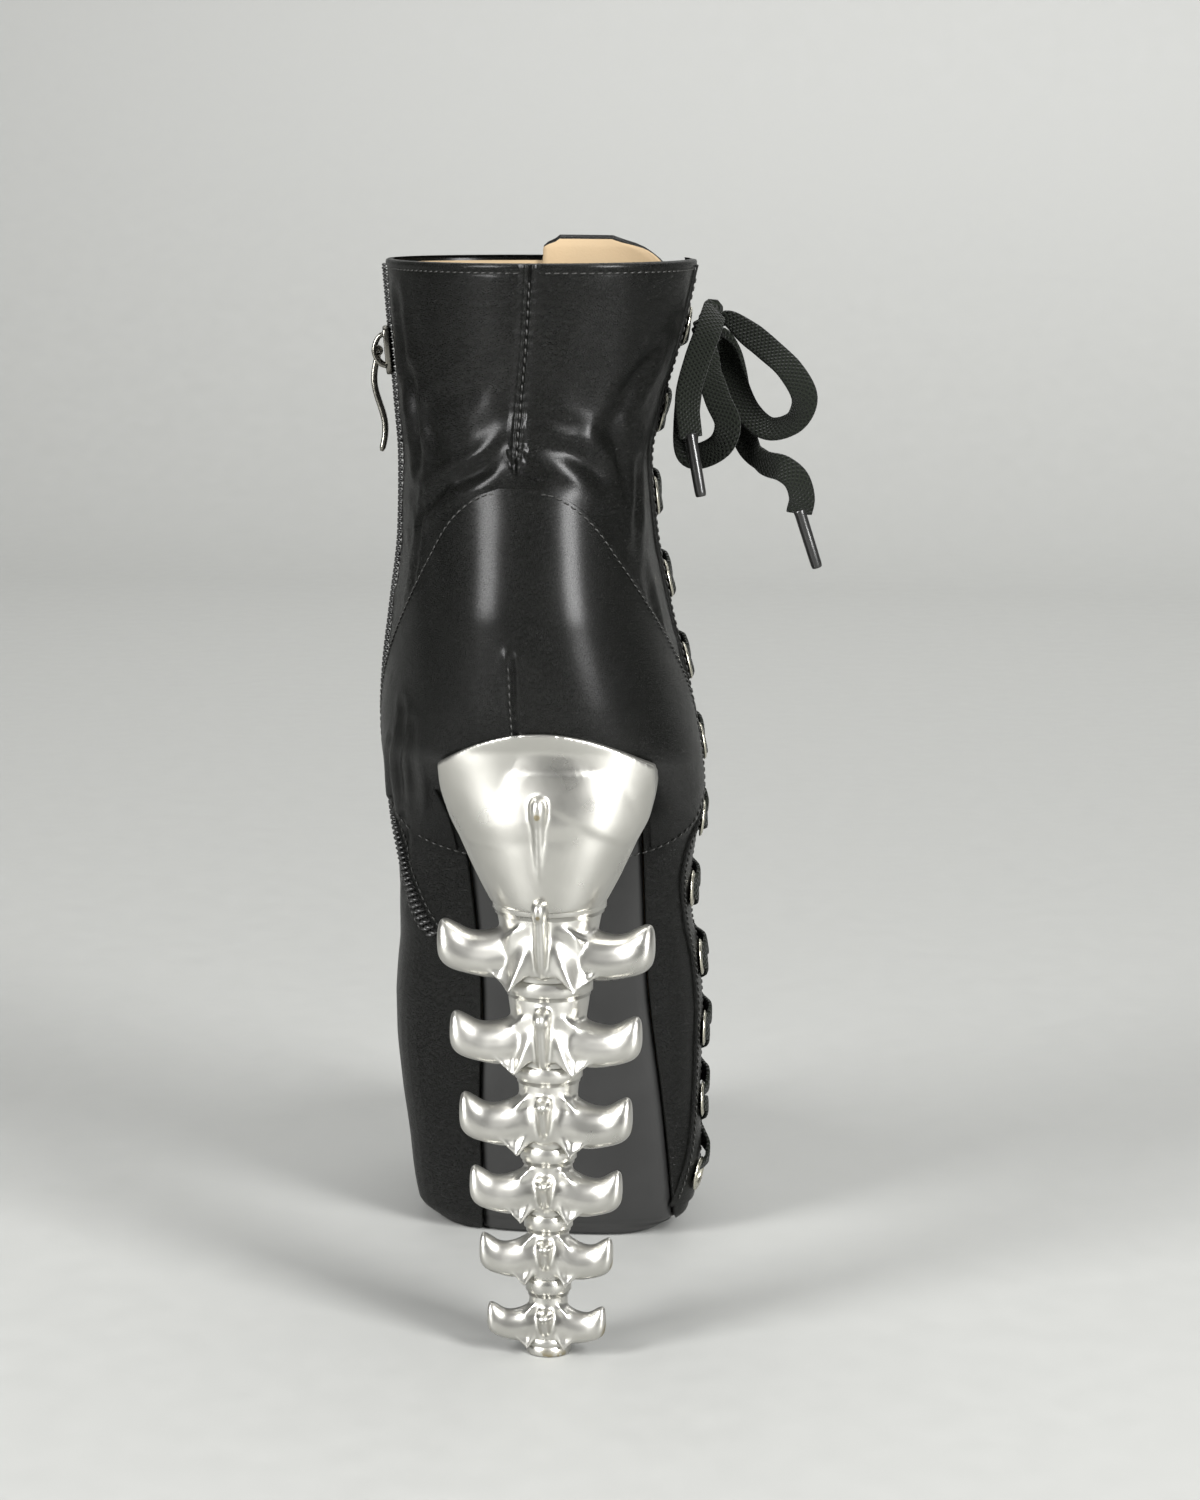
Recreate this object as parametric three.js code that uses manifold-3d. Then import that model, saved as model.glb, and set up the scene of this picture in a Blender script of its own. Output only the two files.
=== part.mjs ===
import * as THREE from "three";
import { mergeVertices } from "three/addons/utils/BufferGeometryUtils.js";
import Module from "manifold-3d";

// A right-foot platform ankle boot on a heel shaped as six stacked vertebrae.
// Millimetres. X points to the outer side of the foot, Y to the toe, Z up.
// The origin is the centre of the heel tip, on the floor.

const wasm = await Module();
wasm.setup();

// Main sizes
const planLength = 200;
const ballWidth = 90;
const platformHeight = 46;
const seatHeight = 164;
const collarHeight = 288;
const swingAngle = 9;

// Walls and clearances
const upperWall = 2;
const overlayStep = 0.8;
const clearance = 0.3;
const shankThickness = 6.5;
const insoleThickness = 2;
const tongueThickness = 1.6;

// Sole panel and tread
const panelCentre = -6;
const panelRecess = 0.6;
const treadInset = 4;
const upperFloorGap = 0.6;
const panelReach = 6;
const counterGap = 2;
const beyond = 10;

// Eyelets and lace
const eyeletCount = 12;
const lowestEyelet = 19;
const highestEyelet = 271;
const eyeletRadius = 5.2;
const eyeletHole = 2.7;
const eyeletBarrel = 3.5;
const eyeletFlange = 0.7;
const eyeletSeat = overlayStep + 0.5;
const facingHalf = 8.5;
const regionReach = 9;
const laceWidth = 7;
const laceThickness = 1.6;
const throatLow = 57;
const tongueRise = 5.5;
const tongueMargin = 3;
const tongueTaper = 8;
const tongueSlant = 0.5;

// Zip
const zipLow = 97;
const zipTapeHalf = 7;
const zipTapeEnd = 3;
const zipTapeThickness = 1.2;
const zipToothHalf = 2.2;
const zipToothRise = 0.6;
const sliderHeight = 264;
const sliderLength = 14;
const sliderWidth = 9;
const sliderThickness = 1.8;
const pullLength = 27;
const pullWidth = 5;
const pullThickness = 1.3;
const pullSwell = 1.2;
const pinRadius = 0.6;
const pinGap = 0.1;
const eyeRadius = 1.6;
const cheekThickness = 1.2;

// Heel
const tipRadius = 5.9;
const tipHeight = 4.5;
const finWidth = 4;
const breastReach = 30;

// How finely curved pieces are cut into faces
const outerSides = 30;
const innerSides = 18;

// Horizontal sections of the last with its platform, from the floor to the collar.
// level: 0 floor, 1 footbed at the ball, 2 back of the heel seat, 3 collar
// back, middle, front: shares of planLength, from the heel's axis
// half, lean: shares of ballWidth, the half width at the middle and its shift to the outer side
// rear, toe: how square the two ends are, 2 being round
const sections = [
  { level: 0, back: 0.49, middle: 0.62, front: 0.815, half: 0.37, lean: 0.01, rear: 3.4, toe: 2.2 },
  { level: 0.14, back: 0.473, middle: 0.6, front: 0.932, half: 0.455, lean: 0.017, rear: 3.4, toe: 2.2 },
  { level: 0.5, back: 0.442, middle: 0.585, front: 0.968, half: 0.481, lean: 0.02, rear: 3.4, toe: 2.3 },
  { level: 1, back: 0.4, middle: 0.565, front: 0.97, half: 0.493, lean: 0.005, rear: 3.4, toe: 2.3 },
  { level: 1.14, back: 0.375, middle: 0.548, front: 0.952, half: 0.5, lean: 0, rear: 3.4, toe: 2.3 },
  { level: 1.21, back: 0.361, middle: 0.534, front: 0.915, half: 0.5, lean: 0, rear: 3.4, toe: 2.25 },
  { level: 1.28, back: 0.347, middle: 0.522, front: 0.81, half: 0.495, lean: 0, rear: 3.4, toe: 2.15 },
  { level: 1.37, back: 0.328, middle: 0.502, front: 0.72, half: 0.483, lean: 0, rear: 3.4, toe: 2.1 },
  { level: 1.47, back: 0.305, middle: 0.47, front: 0.643, half: 0.468, lean: -0.01, rear: 3.5, toe: 2.1 },
  { level: 1.58, back: 0.278, middle: 0.44, front: 0.583, half: 0.463, lean: -0.011, rear: 3.5, toe: 2.1 },
  { level: 1.69, back: 0.243, middle: 0.385, front: 0.539, half: 0.471, lean: -0.008, rear: 3.6, toe: 2.1 },
  { level: 1.77, back: 0.202, middle: 0.318, front: 0.511, half: 0.477, lean: -0.003, rear: 3.7, toe: 2.1 },
  { level: 1.85, back: 0.13, middle: 0.28, front: 0.485, half: 0.482, lean: -0.005, rear: 3.7, toe: 2.1 },
  { level: 1.93, back: 0.038, middle: 0.262, front: 0.465, half: 0.481, lean: -0.013, rear: 3.4, toe: 2.1 },
  { level: 2, back: -0.05, middle: 0.25, front: 0.45, half: 0.475, lean: -0.022, rear: 2.5, toe: 2.1 },
  { level: 2.1, back: -0.067, middle: 0.244, front: 0.434, half: 0.457, lean: -0.032, rear: 2.25, toe: 2.1 },
  { level: 2.26, back: -0.069, middle: 0.23, front: 0.41, half: 0.416, lean: -0.044, rear: 2.15, toe: 2.1 },
  { level: 2.42, back: -0.053, middle: 0.21, front: 0.388, half: 0.381, lean: -0.051, rear: 2.1, toe: 2.1 },
  { level: 2.58, back: -0.028, middle: 0.195, front: 0.375, half: 0.369, lean: -0.057, rear: 2.1, toe: 2.1 },
  { level: 2.7, back: -0.022, middle: 0.188, front: 0.369, half: 0.39, lean: -0.047, rear: 2.1, toe: 2.1 },
  { level: 2.84, back: -0.034, middle: 0.182, front: 0.364, half: 0.425, lean: -0.027, rear: 2.1, toe: 2.1 },
  { level: 3, back: -0.05, middle: 0.175, front: 0.36, half: 0.459, lean: -0.01, rear: 2.1, toe: 2.1 },
];

// The footbed seen from the side: along is a share of planLength
const footbed = [
  { along: -0.15, level: 2.14 },
  { along: -0.05, level: 2.06 },
  { along: 0.055, level: 1.978 },
  { along: 0.13, level: 1.913 },
  { along: 0.205, level: 1.838 },
  { along: 0.277, level: 1.7 },
  { along: 0.34, level: 1.47 },
  { along: 0.378, level: 1.305 },
  { along: 0.42, level: 1.17 },
  { along: 0.465, level: 1.07 },
  { along: 0.515, level: 1.015 },
  { along: 0.575, level: 1 },
  { along: 1.05, level: 1 },
];

// Half width of the bare sole panel under the arch, a share of ballWidth
const panelWidths = [
  { level: -0.05, half: 0.33 },
  { level: 0.2, half: 0.32 },
  { level: 0.87, half: 0.305 },
  { level: 1.35, half: 0.27 },
  { level: 1.6, half: 0.275 },
  { level: 1.86, half: 0.29 },
];

// The outer eyelet row: along is a share of planLength,
// gap is the way round to the other row as a share of ballWidth
const lacing = [
  { level: 0.2, along: 0.525, gap: 0.53 },
  { level: 0.9, along: 0.515, gap: 0.53 },
  { level: 1.15, along: 0.49, gap: 0.54 },
  { level: 1.35, along: 0.45, gap: 0.55 },
  { level: 1.55, along: 0.385, gap: 0.57 },
  { level: 1.75, along: 0.325, gap: 0.58 },
  { level: 1.95, along: 0.28, gap: 0.59 },
  { level: 2.3, along: 0.235, gap: 0.61 },
  { level: 2.6, along: 0.2, gap: 0.66 },
  { level: 3, along: 0.185, gap: 0.73 },
];

// The zip's line on the inner side: along is a share of planLength
const zipLine = [
  { level: 1.43, along: 0.333 },
  { level: 1.56, along: 0.335 },
  { level: 1.68, along: 0.315 },
  { level: 1.78, along: 0.29 },
  { level: 2.0, along: 0.25 },
  { level: 2.3, along: 0.205 },
  { level: 2.6, along: 0.18 },
  { level: 3, along: 0.18 },
];

// How far the counter reaches round each side, in degrees from the back
const counterReach = [
  { level: 1.64, turn: 50 },
  { level: 1.7, turn: 66 },
  { level: 1.79, turn: 82 },
  { level: 1.88, turn: 90 },
  { level: 2.03, turn: 86 },
  { level: 2.15, turn: 75 },
  { level: 2.27, turn: 60 },
  { level: 2.38, turn: 46 },
  { level: 2.47, turn: 33 },
  { level: 2.52, turn: 20 },
  { level: 2.545, turn: 6 },
];

// Heel cap sections: rise is a share of seatHeight, half and the two ends are in shares
// of the cap's widest half width
const capHalf = 28.7;
const capSections = [
  { rise: 0.75, half: 0.55, back: -0.45, front: 0.64 },
  { rise: 0.8, half: 0.69, back: -0.49, front: 0.74 },
  { rise: 0.848, half: 0.82, back: -0.51, front: 0.84 },
  { rise: 0.89, half: 0.94, back: -0.5, front: 0.93 },
  { rise: 0.945, half: 1, back: -0.47, front: 1 },
  { rise: 1.02, half: 1, back: -0.44, front: 1.05 },
];

// Vertebrae from the top: rises are shares of seatHeight, span and band are half widths
const vertebrae = [
  { high: 0.725, low: 0.63, span: 28.2, band: 11.6 },
  { high: 0.575, low: 0.488, span: 25, band: 9 },
  { high: 0.442, low: 0.354, span: 22.6, band: 7.5 },
  { high: 0.32, low: 0.24, span: 20, band: 6.5 },
  { high: 0.207, low: 0.133, span: 17.6, band: 6 },
  { high: 0.09, low: 0.0245, span: 15.7, band: 5.9 },
];
const capNeck = 15;
const axisLean = 4;

const radians = THREE.MathUtils.degToRad;
const degrees = THREE.MathUtils.radToDeg;

function heightAt(level) {
  if (level <= 1) return level * platformHeight;
  if (level <= 2) return platformHeight + (level - 1) * (seatHeight - platformHeight);
  return seatHeight + (level - 2) * (collarHeight - seatHeight);
}

// Smooth curve through a table's column that never overshoots its rows
function smooth(table, column, scale = 1) {
  const z = table.map((row) => heightAt(row.level));
  const v = table.map((row) => row[column] * scale);
  const slope = z.slice(1).map((high, i) => (v[i + 1] - v[i]) / (high - z[i]));
  const tangent = z.map((_, i) => {
    if (i === 0) return slope[0];
    if (i === z.length - 1) return slope[i - 1];
    if (slope[i - 1] * slope[i] <= 0) return 0;
    return (2 * slope[i - 1] * slope[i]) / (slope[i - 1] + slope[i]);
  });
  return (height) => {
    if (height <= z[0]) return v[0];
    if (height >= z[z.length - 1]) return v[v.length - 1];
    const i = z.findIndex((high) => high > height) - 1;
    const step = z[i + 1] - z[i];
    const t = (height - z[i]) / step;
    const t2 = t * t;
    const t3 = t2 * t;
    const start = (2 * t3 - 3 * t2 + 1) * v[i] + (t3 - 2 * t2 + t) * step * tangent[i];
    return start + (3 * t2 - 2 * t3) * v[i + 1] + (t3 - t2) * step * tangent[i + 1];
  };
}

const lastBack = smooth(sections, "back", planLength);
const lastMiddle = smooth(sections, "middle", planLength);
const lastFront = smooth(sections, "front", planLength);
const lastHalf = smooth(sections, "half", ballWidth);
const lastLean = smooth(sections, "lean", ballWidth);
const lastBackPower = smooth(sections, "rear");
const lastFrontPower = smooth(sections, "toe");

// The last's centreline swings to the inner side towards the toe
function centreAt(y) {
  const softStart = 20;
  return -Math.tan(radians(swingAngle)) * 0.5 * (y + Math.hypot(y, softStart));
}

function slopeOf(curve, z) {
  const step = 0.5;
  return (curve(z + step) - curve(z - step)) / (2 * step);
}

// Point of the last at a height and a turn: 0 back, 90 outer side, 180 front, 270 inner side.
// out grows the section, more where its wall leans, so that the wall moves by out.
function sectionPoint(z, turn, out = 0) {
  const grow = (curve) => out * Math.hypot(1, slopeOf(curve, z));
  const middle = lastMiddle(z);
  const half = lastHalf(z) + grow(lastHalf);
  const s = Math.sin(radians(turn));
  const c = Math.cos(radians(turn));
  const atBack = c > 0;
  const power = atBack ? lastBackPower(z) : lastFrontPower(z);
  const depth = atBack ? middle - lastBack(z) + grow(lastBack) : lastFront(z) + grow(lastFront) - middle;
  const y = middle - Math.sign(c) * depth * Math.abs(c) ** (2 / power);
  const x = Math.sign(s) * half * Math.abs(s) ** (2 / power);
  return new THREE.Vector3(centreAt(y) + lastLean(z) + x, y, z);
}

// Frame on the last's outside: n points out, a runs round it and b runs up
function frameAt(z, turn) {
  const a = sectionPoint(z, turn + 1).sub(sectionPoint(z, turn - 1)).normalize();
  const up = sectionPoint(z + 0.5, turn).sub(sectionPoint(z - 0.5, turn));
  const n = new THREE.Vector3().crossVectors(a, up).normalize();
  const b = new THREE.Vector3().crossVectors(n, a).normalize();
  return { origin: sectionPoint(z, turn), a, b, n };
}

function surfacePoint(z, turn, out) {
  const frame = frameAt(z, turn);
  return frame.origin.addScaledVector(frame.n, out);
}

// The turn of the point at y on the outer side (side 1) or inner side (side -1)
function turnAt(z, y, side) {
  const middle = lastMiddle(z);
  const behind = y < middle;
  const share = behind ? (middle - y) / (middle - lastBack(z)) : (y - middle) / (lastFront(z) - middle);
  const power = behind ? lastBackPower(z) : lastFrontPower(z);
  const away = degrees(Math.asin(Math.min(1, share) ** (power / 2)));
  const turn = behind ? 90 - away : 90 + away;
  return side > 0 ? turn : 360 - turn;
}

// The turn that lies a distance round the section from another turn
function turnAway(z, start, distance) {
  const step = Math.sign(distance);
  let turn = start;
  let walked = 0;
  let here = sectionPoint(z, turn);
  while (walked < Math.abs(distance)) {
    turn += step;
    const next = sectionPoint(z, turn);
    walked += next.distanceTo(here);
    here = next;
  }
  const over = walked - Math.abs(distance);
  const last = sectionPoint(z, turn - step).distanceTo(here);
  return turn - (step * over) / last;
}

// Closed solid from triangles, turned so that its faces point out
function solidOf(points, triangles) {
  let volume = 0;
  for (const [i, j, k] of triangles) {
    volume += points[i].dot(new THREE.Vector3().crossVectors(points[j], points[k]));
  }
  const order = volume > 0 ? triangles : triangles.map(([i, j, k]) => [i, k, j]);
  return new wasm.Manifold(
    new wasm.Mesh({
      numProp: 3,
      vertProperties: new Float32Array(points.flatMap((p) => [p.x, p.y, p.z])),
      triVerts: new Uint32Array(order.flat()),
    }),
  );
}

function solidFrom(geometry) {
  const bare = geometry.clone();
  bare.deleteAttribute("normal");
  bare.deleteAttribute("uv");
  const merged = mergeVertices(bare, 1e-4);
  return new wasm.Manifold(
    new wasm.Mesh({
      numProp: 3,
      vertProperties: new Float32Array(merged.attributes.position.array),
      triVerts: new Uint32Array(merged.index.array),
    }),
  );
}

// Skin through rings with equal numbers of points, closed by a fan at both ends
function ringSolid(rings) {
  const count = rings[0].length;
  const points = rings.flat();
  const triangles = [];
  for (let r = 0; r + 1 < rings.length; r += 1) {
    for (let i = 0; i < count; i += 1) {
      const j = (i + 1) % count;
      const low = r * count;
      const high = low + count;
      triangles.push([low + i, low + j, high + j], [low + i, high + j, high + i]);
    }
  }
  for (const [ring, flip] of [[0, true], [rings.length - 1, false]]) {
    const centre = new THREE.Vector3();
    rings[ring].forEach((p) => centre.addScaledVector(p, 1 / count));
    points.push(centre);
    for (let i = 0; i < count; i += 1) {
      const edge = [ring * count + i, ring * count + ((i + 1) % count)];
      if (flip) edge.reverse();
      triangles.push([edge[0], edge[1], points.length - 1]);
    }
  }
  return solidOf(points, triangles);
}

// Solid between two grids of points with the same rows and columns
function sheetSolid(outside, inside) {
  const rows = outside.length;
  const columns = outside[0].length;
  const points = [...outside.flat(), ...inside.flat()];
  const half = rows * columns;
  const at = (r, c) => r * columns + c;
  const triangles = [];
  const quad = (i, j, k, l) => triangles.push([i, j, k], [i, k, l]);
  for (let r = 0; r + 1 < rows; r += 1) {
    for (let c = 0; c + 1 < columns; c += 1) {
      quad(at(r, c), at(r, c + 1), at(r + 1, c + 1), at(r + 1, c));
      quad(half + at(r, c), half + at(r + 1, c), half + at(r + 1, c + 1), half + at(r, c + 1));
    }
  }
  const rim = [];
  for (let c = 0; c < columns; c += 1) rim.push(at(0, c));
  for (let r = 1; r < rows; r += 1) rim.push(at(r, columns - 1));
  for (let c = columns - 2; c >= 0; c -= 1) rim.push(at(rows - 1, c));
  for (let r = rows - 2; r > 0; r -= 1) rim.push(at(r, 0));
  rim.forEach((i, n) => {
    const j = rim[(n + 1) % rim.length];
    quad(i, half + i, half + j, j);
  });
  return solidOf(points, triangles);
}

const rowHeights = sections.map((row) => heightAt(row.level));

// The two given heights with the sections' own heights between them
function heightsBetween(low, high) {
  return [low, ...rowHeights.filter((z) => z > low + 1 && z < high - 1), high];
}

// Ring at a height, on straight lines between the table's rows, so that layers stay parallel
function ringAt(z, out, sides) {
  const above = Math.min(rowHeights.length - 1, Math.max(1, rowHeights.findIndex((row) => row > z)));
  const high = z >= rowHeights.at(-1) ? rowHeights.length - 1 : above;
  const [from, to] = [rowHeights[high - 1], rowHeights[high]];
  const share = THREE.MathUtils.clamp((z - from) / (to - from), 0, 1);
  return Array.from({ length: sides }, (_, i) => {
    const turn = (i * 360) / sides;
    return sectionPoint(from, turn, out).lerp(sectionPoint(to, turn, out), share).setZ(z);
  });
}

// The last grown by out, between two heights. What lies inside the wall has fewer sides.
function lastSolid(out, low, high) {
  const sides = out > -upperWall ? outerSides : innerSides;
  return ringSolid(heightsBetween(low, high).map((z) => ringAt(z, out, sides)));
}

function evenly(low, high, count) {
  return Array.from({ length: count }, (_, i) => low + ((high - low) * i) / (count - 1));
}

// Thick region across the last's surface; edges(z) gives the two turns that bound it
function regionSolid(heights, edges, columns) {
  const grid = (out) =>
    heights.map((z) => {
      const [start, end] = edges(z);
      return evenly(start, end, columns).map((turn) => surfacePoint(z, turn, out));
    });
  return sheetSolid(grid(regionReach), grid(-regionReach));
}

// Region that runs along a line of turns, from one distance to another round the section
function stripRegion(low, high, turnOfLine, from, to) {
  const edges = (z) => [turnAway(z, turnOfLine(z), from), turnAway(z, turnOfLine(z), to)];
  return regionSolid(heightsBetween(low, high), edges, 3);
}

// Layer of the last between two depths
function layer(inner, outer, low, high) {
  return lastSolid(outer, low, high).subtract(lastSolid(inner, low - 1, high + 1));
}

// Solid with a side-view outline of [y, z] points, from x low to x high
function sideExtrusion(outline, low, high) {
  const shape = new THREE.Shape(outline.map(([y, z]) => new THREE.Vector2(y, z)));
  const geometry = new THREE.ExtrudeGeometry(shape, { depth: high - low, bevelEnabled: false });
  const toSide = new THREE.Matrix4().makeBasis(
    new THREE.Vector3(0, 1, 0),
    new THREE.Vector3(0, 0, 1),
    new THREE.Vector3(1, 0, 0),
  );
  return solidFrom(geometry.applyMatrix4(toSide)).translate([low, 0, 0]);
}

function unite(parts) {
  return parts.reduce((whole, part) => whole.add(part));
}

// Upper

const lacingAlong = smooth(lacing, "along", planLength);
const lacingGap = smooth(lacing, "gap", ballWidth);
const zipAlong = smooth(zipLine, "along", planLength);
const counterTurn = smooth(counterReach, "turn");

const rowTurn = (z) => turnAt(z, lacingAlong(z), 1);
const otherRowTurn = (z) => turnAway(z, rowTurn(z), lacingGap(z));
const zipTurn = (z) => turnAt(z, zipAlong(z), -1);

function panelSolid(narrowing, outward, inward) {
  const half = smooth(panelWidths, "half", ballWidth);
  const heights = panelWidths.map((row) => heightAt(row.level));
  const levels = sections.map((row) => heightAt(row.level));
  const all = [heights[0], ...levels.filter((z) => z > 0 && z < heights.at(-1)), heights.at(-1)];
  const rings = all.map((z) => {
    const steep = Math.hypot(1, slopeOf(lastBack, z));
    const back = lastBack(z) - outward * steep;
    const front = lastBack(z) + inward * steep;
    const reach = half(z) - narrowing;
    const corners = [[-reach, back], [reach, back], [reach, front], [-reach, front]];
    return corners.map(([x, y]) => new THREE.Vector3(panelCentre + x, y, z));
  });
  return ringSolid(rings);
}

function counterRegion() {
  const heights = counterReach.map((row) => heightAt(row.level));
  return regionSolid(heights, (z) => [-counterTurn(z), counterTurn(z)], 11);
}

function facingRegion(turnOfRow) {
  return stripRegion(lowestEyelet - facingHalf, collarHeight - 0.5, turnOfRow, -facingHalf, facingHalf);
}

function throatRegion() {
  const edges = (z) => {
    const start = rowTurn(z);
    return [turnAway(z, start, facingHalf), turnAway(z, start, lacingGap(z) - facingHalf)];
  };
  return regionSolid(heightsBetween(throatLow, collarHeight + beyond), edges, 4);
}

function zipRegion(low, half) {
  return stripRegion(low, collarHeight + beyond, zipTurn, -half, half);
}

function eyeletPlaces() {
  const places = [];
  for (const z of evenly(lowestEyelet, highestEyelet, eyeletCount)) {
    places.push({ row: "outer", z, turn: rowTurn(z) });
    places.push({ row: "front", z, turn: otherRowTurn(z) });
  }
  return places;
}

function placeOn(frame, geometry, out) {
  const matrix = new THREE.Matrix4().makeBasis(frame.a, frame.n, frame.b.clone().negate());
  matrix.setPosition(frame.origin.clone().addScaledVector(frame.n, out));
  return geometry.applyMatrix4(matrix);
}

function eyeletHoleSolid(place) {
  const length = 4 * upperWall;
  const hole = new THREE.CylinderGeometry(eyeletBarrel + clearance, eyeletBarrel + clearance, length, 8);
  return solidFrom(placeOn(frameAt(place.z, place.turn), hole, 0));
}

function makeUpper() {
  const top = collarHeight + beyond;
  const shell = lastSolid(0, 0, collarHeight).subtract(lastSolid(-upperWall, upperWall, top));
  const raised = layer(-upperWall / 2, overlayStep, lowestEyelet - facingHalf, collarHeight - 0.5);
  const counter = counterRegion().subtract(panelSolid(-counterGap, panelReach, shankThickness));
  const overlays = unite([counter, facingRegion(rowTurn), facingRegion(otherRowTurn)]);
  const cuts = unite([
    throatRegion(),
    zipRegion(zipLow, zipToothHalf + clearance),
    panelSolid(0, panelReach, shankThickness),
    lastSolid(-treadInset, -1, 2 * upperWall),
    lastSolid(beyond, -beyond, upperFloorGap),
    ...eyeletPlaces().map(eyeletHoleSolid),
  ]);
  return shell.add(raised.intersect(overlays)).subtract(cuts);
}

// Sole and insole

function footbedLine(rise) {
  const line = footbed.map((row) => new THREE.Vector2(row.along * planLength, heightAt(row.level)));
  return line.map((p, i) => {
    const before = line[Math.max(0, i - 1)];
    const after = line[Math.min(line.length - 1, i + 1)];
    const run = after.clone().sub(before).normalize();
    return [p.x - run.y * rise, p.y + run.x * rise];
  });
}

function underFootbed(rise) {
  const line = footbedLine(rise);
  const low = [[line.at(-1)[0], -beyond], [line[0][0], -beyond]];
  return sideExtrusion([...line, ...low], -ballWidth, ballWidth);
}

// Room for the zip tape where it runs down beside the footbed
function zipPocket() {
  const deep = tapeOut - zipTapeThickness - clearance;
  const low = zipLow - zipTapeEnd - clearance;
  return layer(deep, 0, low - 1, seatHeight).intersect(zipRegion(low, zipTapeHalf + clearance));
}

function makeSole() {
  const inside = upperWall + clearance;
  const filling = lastSolid(-inside, inside, seatHeight + 2 * beyond);
  const tread = lastSolid(-treadInset - clearance, 0, 2 * upperWall - clearance);
  const bare = lastSolid(-panelRecess, 0, seatHeight + 2 * beyond);
  const strip = bare.intersect(panelSolid(clearance, panelReach, 2 * inside));
  return unite([filling.subtract(zipPocket()), tread, strip]).intersect(underFootbed(0));
}

function makeInsole() {
  const band = underFootbed(clearance + insoleThickness).subtract(underFootbed(clearance));
  const edge = upperWall + 2 * clearance;
  const insole = band.intersect(lastSolid(-edge, platformHeight - beyond, seatHeight + 2 * beyond));
  return insole.subtract(zipPocket());
}

// Tongue

function makeTongue() {
  const outer = -upperWall - clearance;
  const top = collarHeight + tongueRise;
  const low = throatLow - tongueMargin;
  const edges = (z) => {
    const start = rowTurn(z);
    const gap = lacingGap(z);
    const raised = Math.max(0, (z - collarHeight + tongueTaper) / (tongueRise + tongueTaper));
    const first = tongueMargin + raised * gap * tongueSlant;
    return [turnAway(z, start, first), turnAway(z, start, gap - tongueMargin)];
  };
  const heights = [...heightsBetween(low, collarHeight - tongueTaper), collarHeight - 3, top];
  const region = regionSolid(heights, edges, 6);
  return layer(outer - tongueThickness, outer, low, top).intersect(region);
}

// Zip

const tapeOut = -upperWall - clearance;

function makeZipTape() {
  const top = collarHeight + 2;
  const low = zipLow - zipTapeEnd;
  const tape = layer(tapeOut - zipTapeThickness, tapeOut, low, top).intersect(zipRegion(low, zipTapeHalf));
  const teeth = layer(tapeOut - 0.5, zipToothRise, zipLow + clearance, top);
  return tape.add(teeth.intersect(zipRegion(zipLow + clearance, zipToothHalf)));
}

const sliderFrame = frameAt(sliderHeight, zipTurn(sliderHeight));
const sliderSeat = zipToothRise + clearance;
const pinOut = sliderSeat + sliderThickness + eyeRadius + clearance;

// Places a solid made with X across, Y up the zip and Z outward
function onZip(geometry) {
  const matrix = new THREE.Matrix4().makeBasis(sliderFrame.a, sliderFrame.b, sliderFrame.n);
  matrix.setPosition(sliderFrame.origin);
  return solidFrom(geometry.applyMatrix4(matrix));
}

function makeZipSlider() {
  const half = sliderWidth / 2;
  const outline = [
    [-half * 0.55, -sliderLength / 2],
    [half * 0.55, -sliderLength / 2],
    [half, -sliderLength * 0.1],
    [half, sliderLength * 0.3],
    [half * 0.6, sliderLength / 2],
    [-half * 0.6, sliderLength / 2],
    [-half, sliderLength * 0.3],
    [-half, -sliderLength * 0.1],
  ];
  const shape = new THREE.Shape(outline.map(([x, y]) => new THREE.Vector2(x, y)));
  const plate = new THREE.ExtrudeGeometry(shape, { depth: sliderThickness, bevelEnabled: false });
  plate.translate(0, 0, sliderSeat);
  const cheekRise = pinOut + eyeRadius * 0.6 - sliderSeat;
  const parts = [onZip(plate)];
  for (const side of [-1, 1]) {
    const cheek = new THREE.BoxGeometry(cheekThickness, 2 * eyeRadius, cheekRise);
    const x = side * (pullWidth / 2 + clearance + cheekThickness / 2);
    cheek.translate(x, 0, sliderSeat + cheekRise / 2);
    parts.push(onZip(cheek));
  }
  const pin = new THREE.CylinderGeometry(pinRadius, pinRadius, pullWidth + cheekThickness, 10);
  parts.push(onZip(pin.rotateZ(Math.PI / 2).translate(0, 0, pinOut)));
  return unite(parts);
}

// The pull hangs from the pin as a gentle S, made with its profile in the up and outward plane
function makeZipPull() {
  const steps = 10;
  const grid = (offset) =>
    evenly(0, 1, steps).map((t) => {
      const out = pinOut + pullSwell * (Math.sin(t * 2 * Math.PI) + t) + offset;
      const half = (pullWidth / 2) * (0.75 + 0.25 * t);
      const up = -eyeRadius * 0.8 - t * (pullLength - eyeRadius);
      return [-half, half].map((x) => {
        const p = sliderFrame.origin.clone().addScaledVector(sliderFrame.a, x);
        return p.addScaledVector(sliderFrame.b, up).addScaledVector(sliderFrame.n, out);
      });
    });
  const blade = sheetSolid(grid(pullThickness / 2), grid(-pullThickness / 2));
  const eye = new THREE.CylinderGeometry(eyeRadius, eyeRadius, pullWidth, 12);
  const bore = new THREE.CylinderGeometry(pinRadius + pinGap, pinRadius + pinGap, pullWidth + 2, 12);
  const turned = (geometry) => onZip(geometry.rotateZ(Math.PI / 2).translate(0, 0, pinOut));
  return blade.add(turned(eye)).subtract(turned(bore));
}

// Heel

const axisAt = (z) => axisLean * Math.max(0, z / (seatHeight * 0.75)) ** 2;

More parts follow.
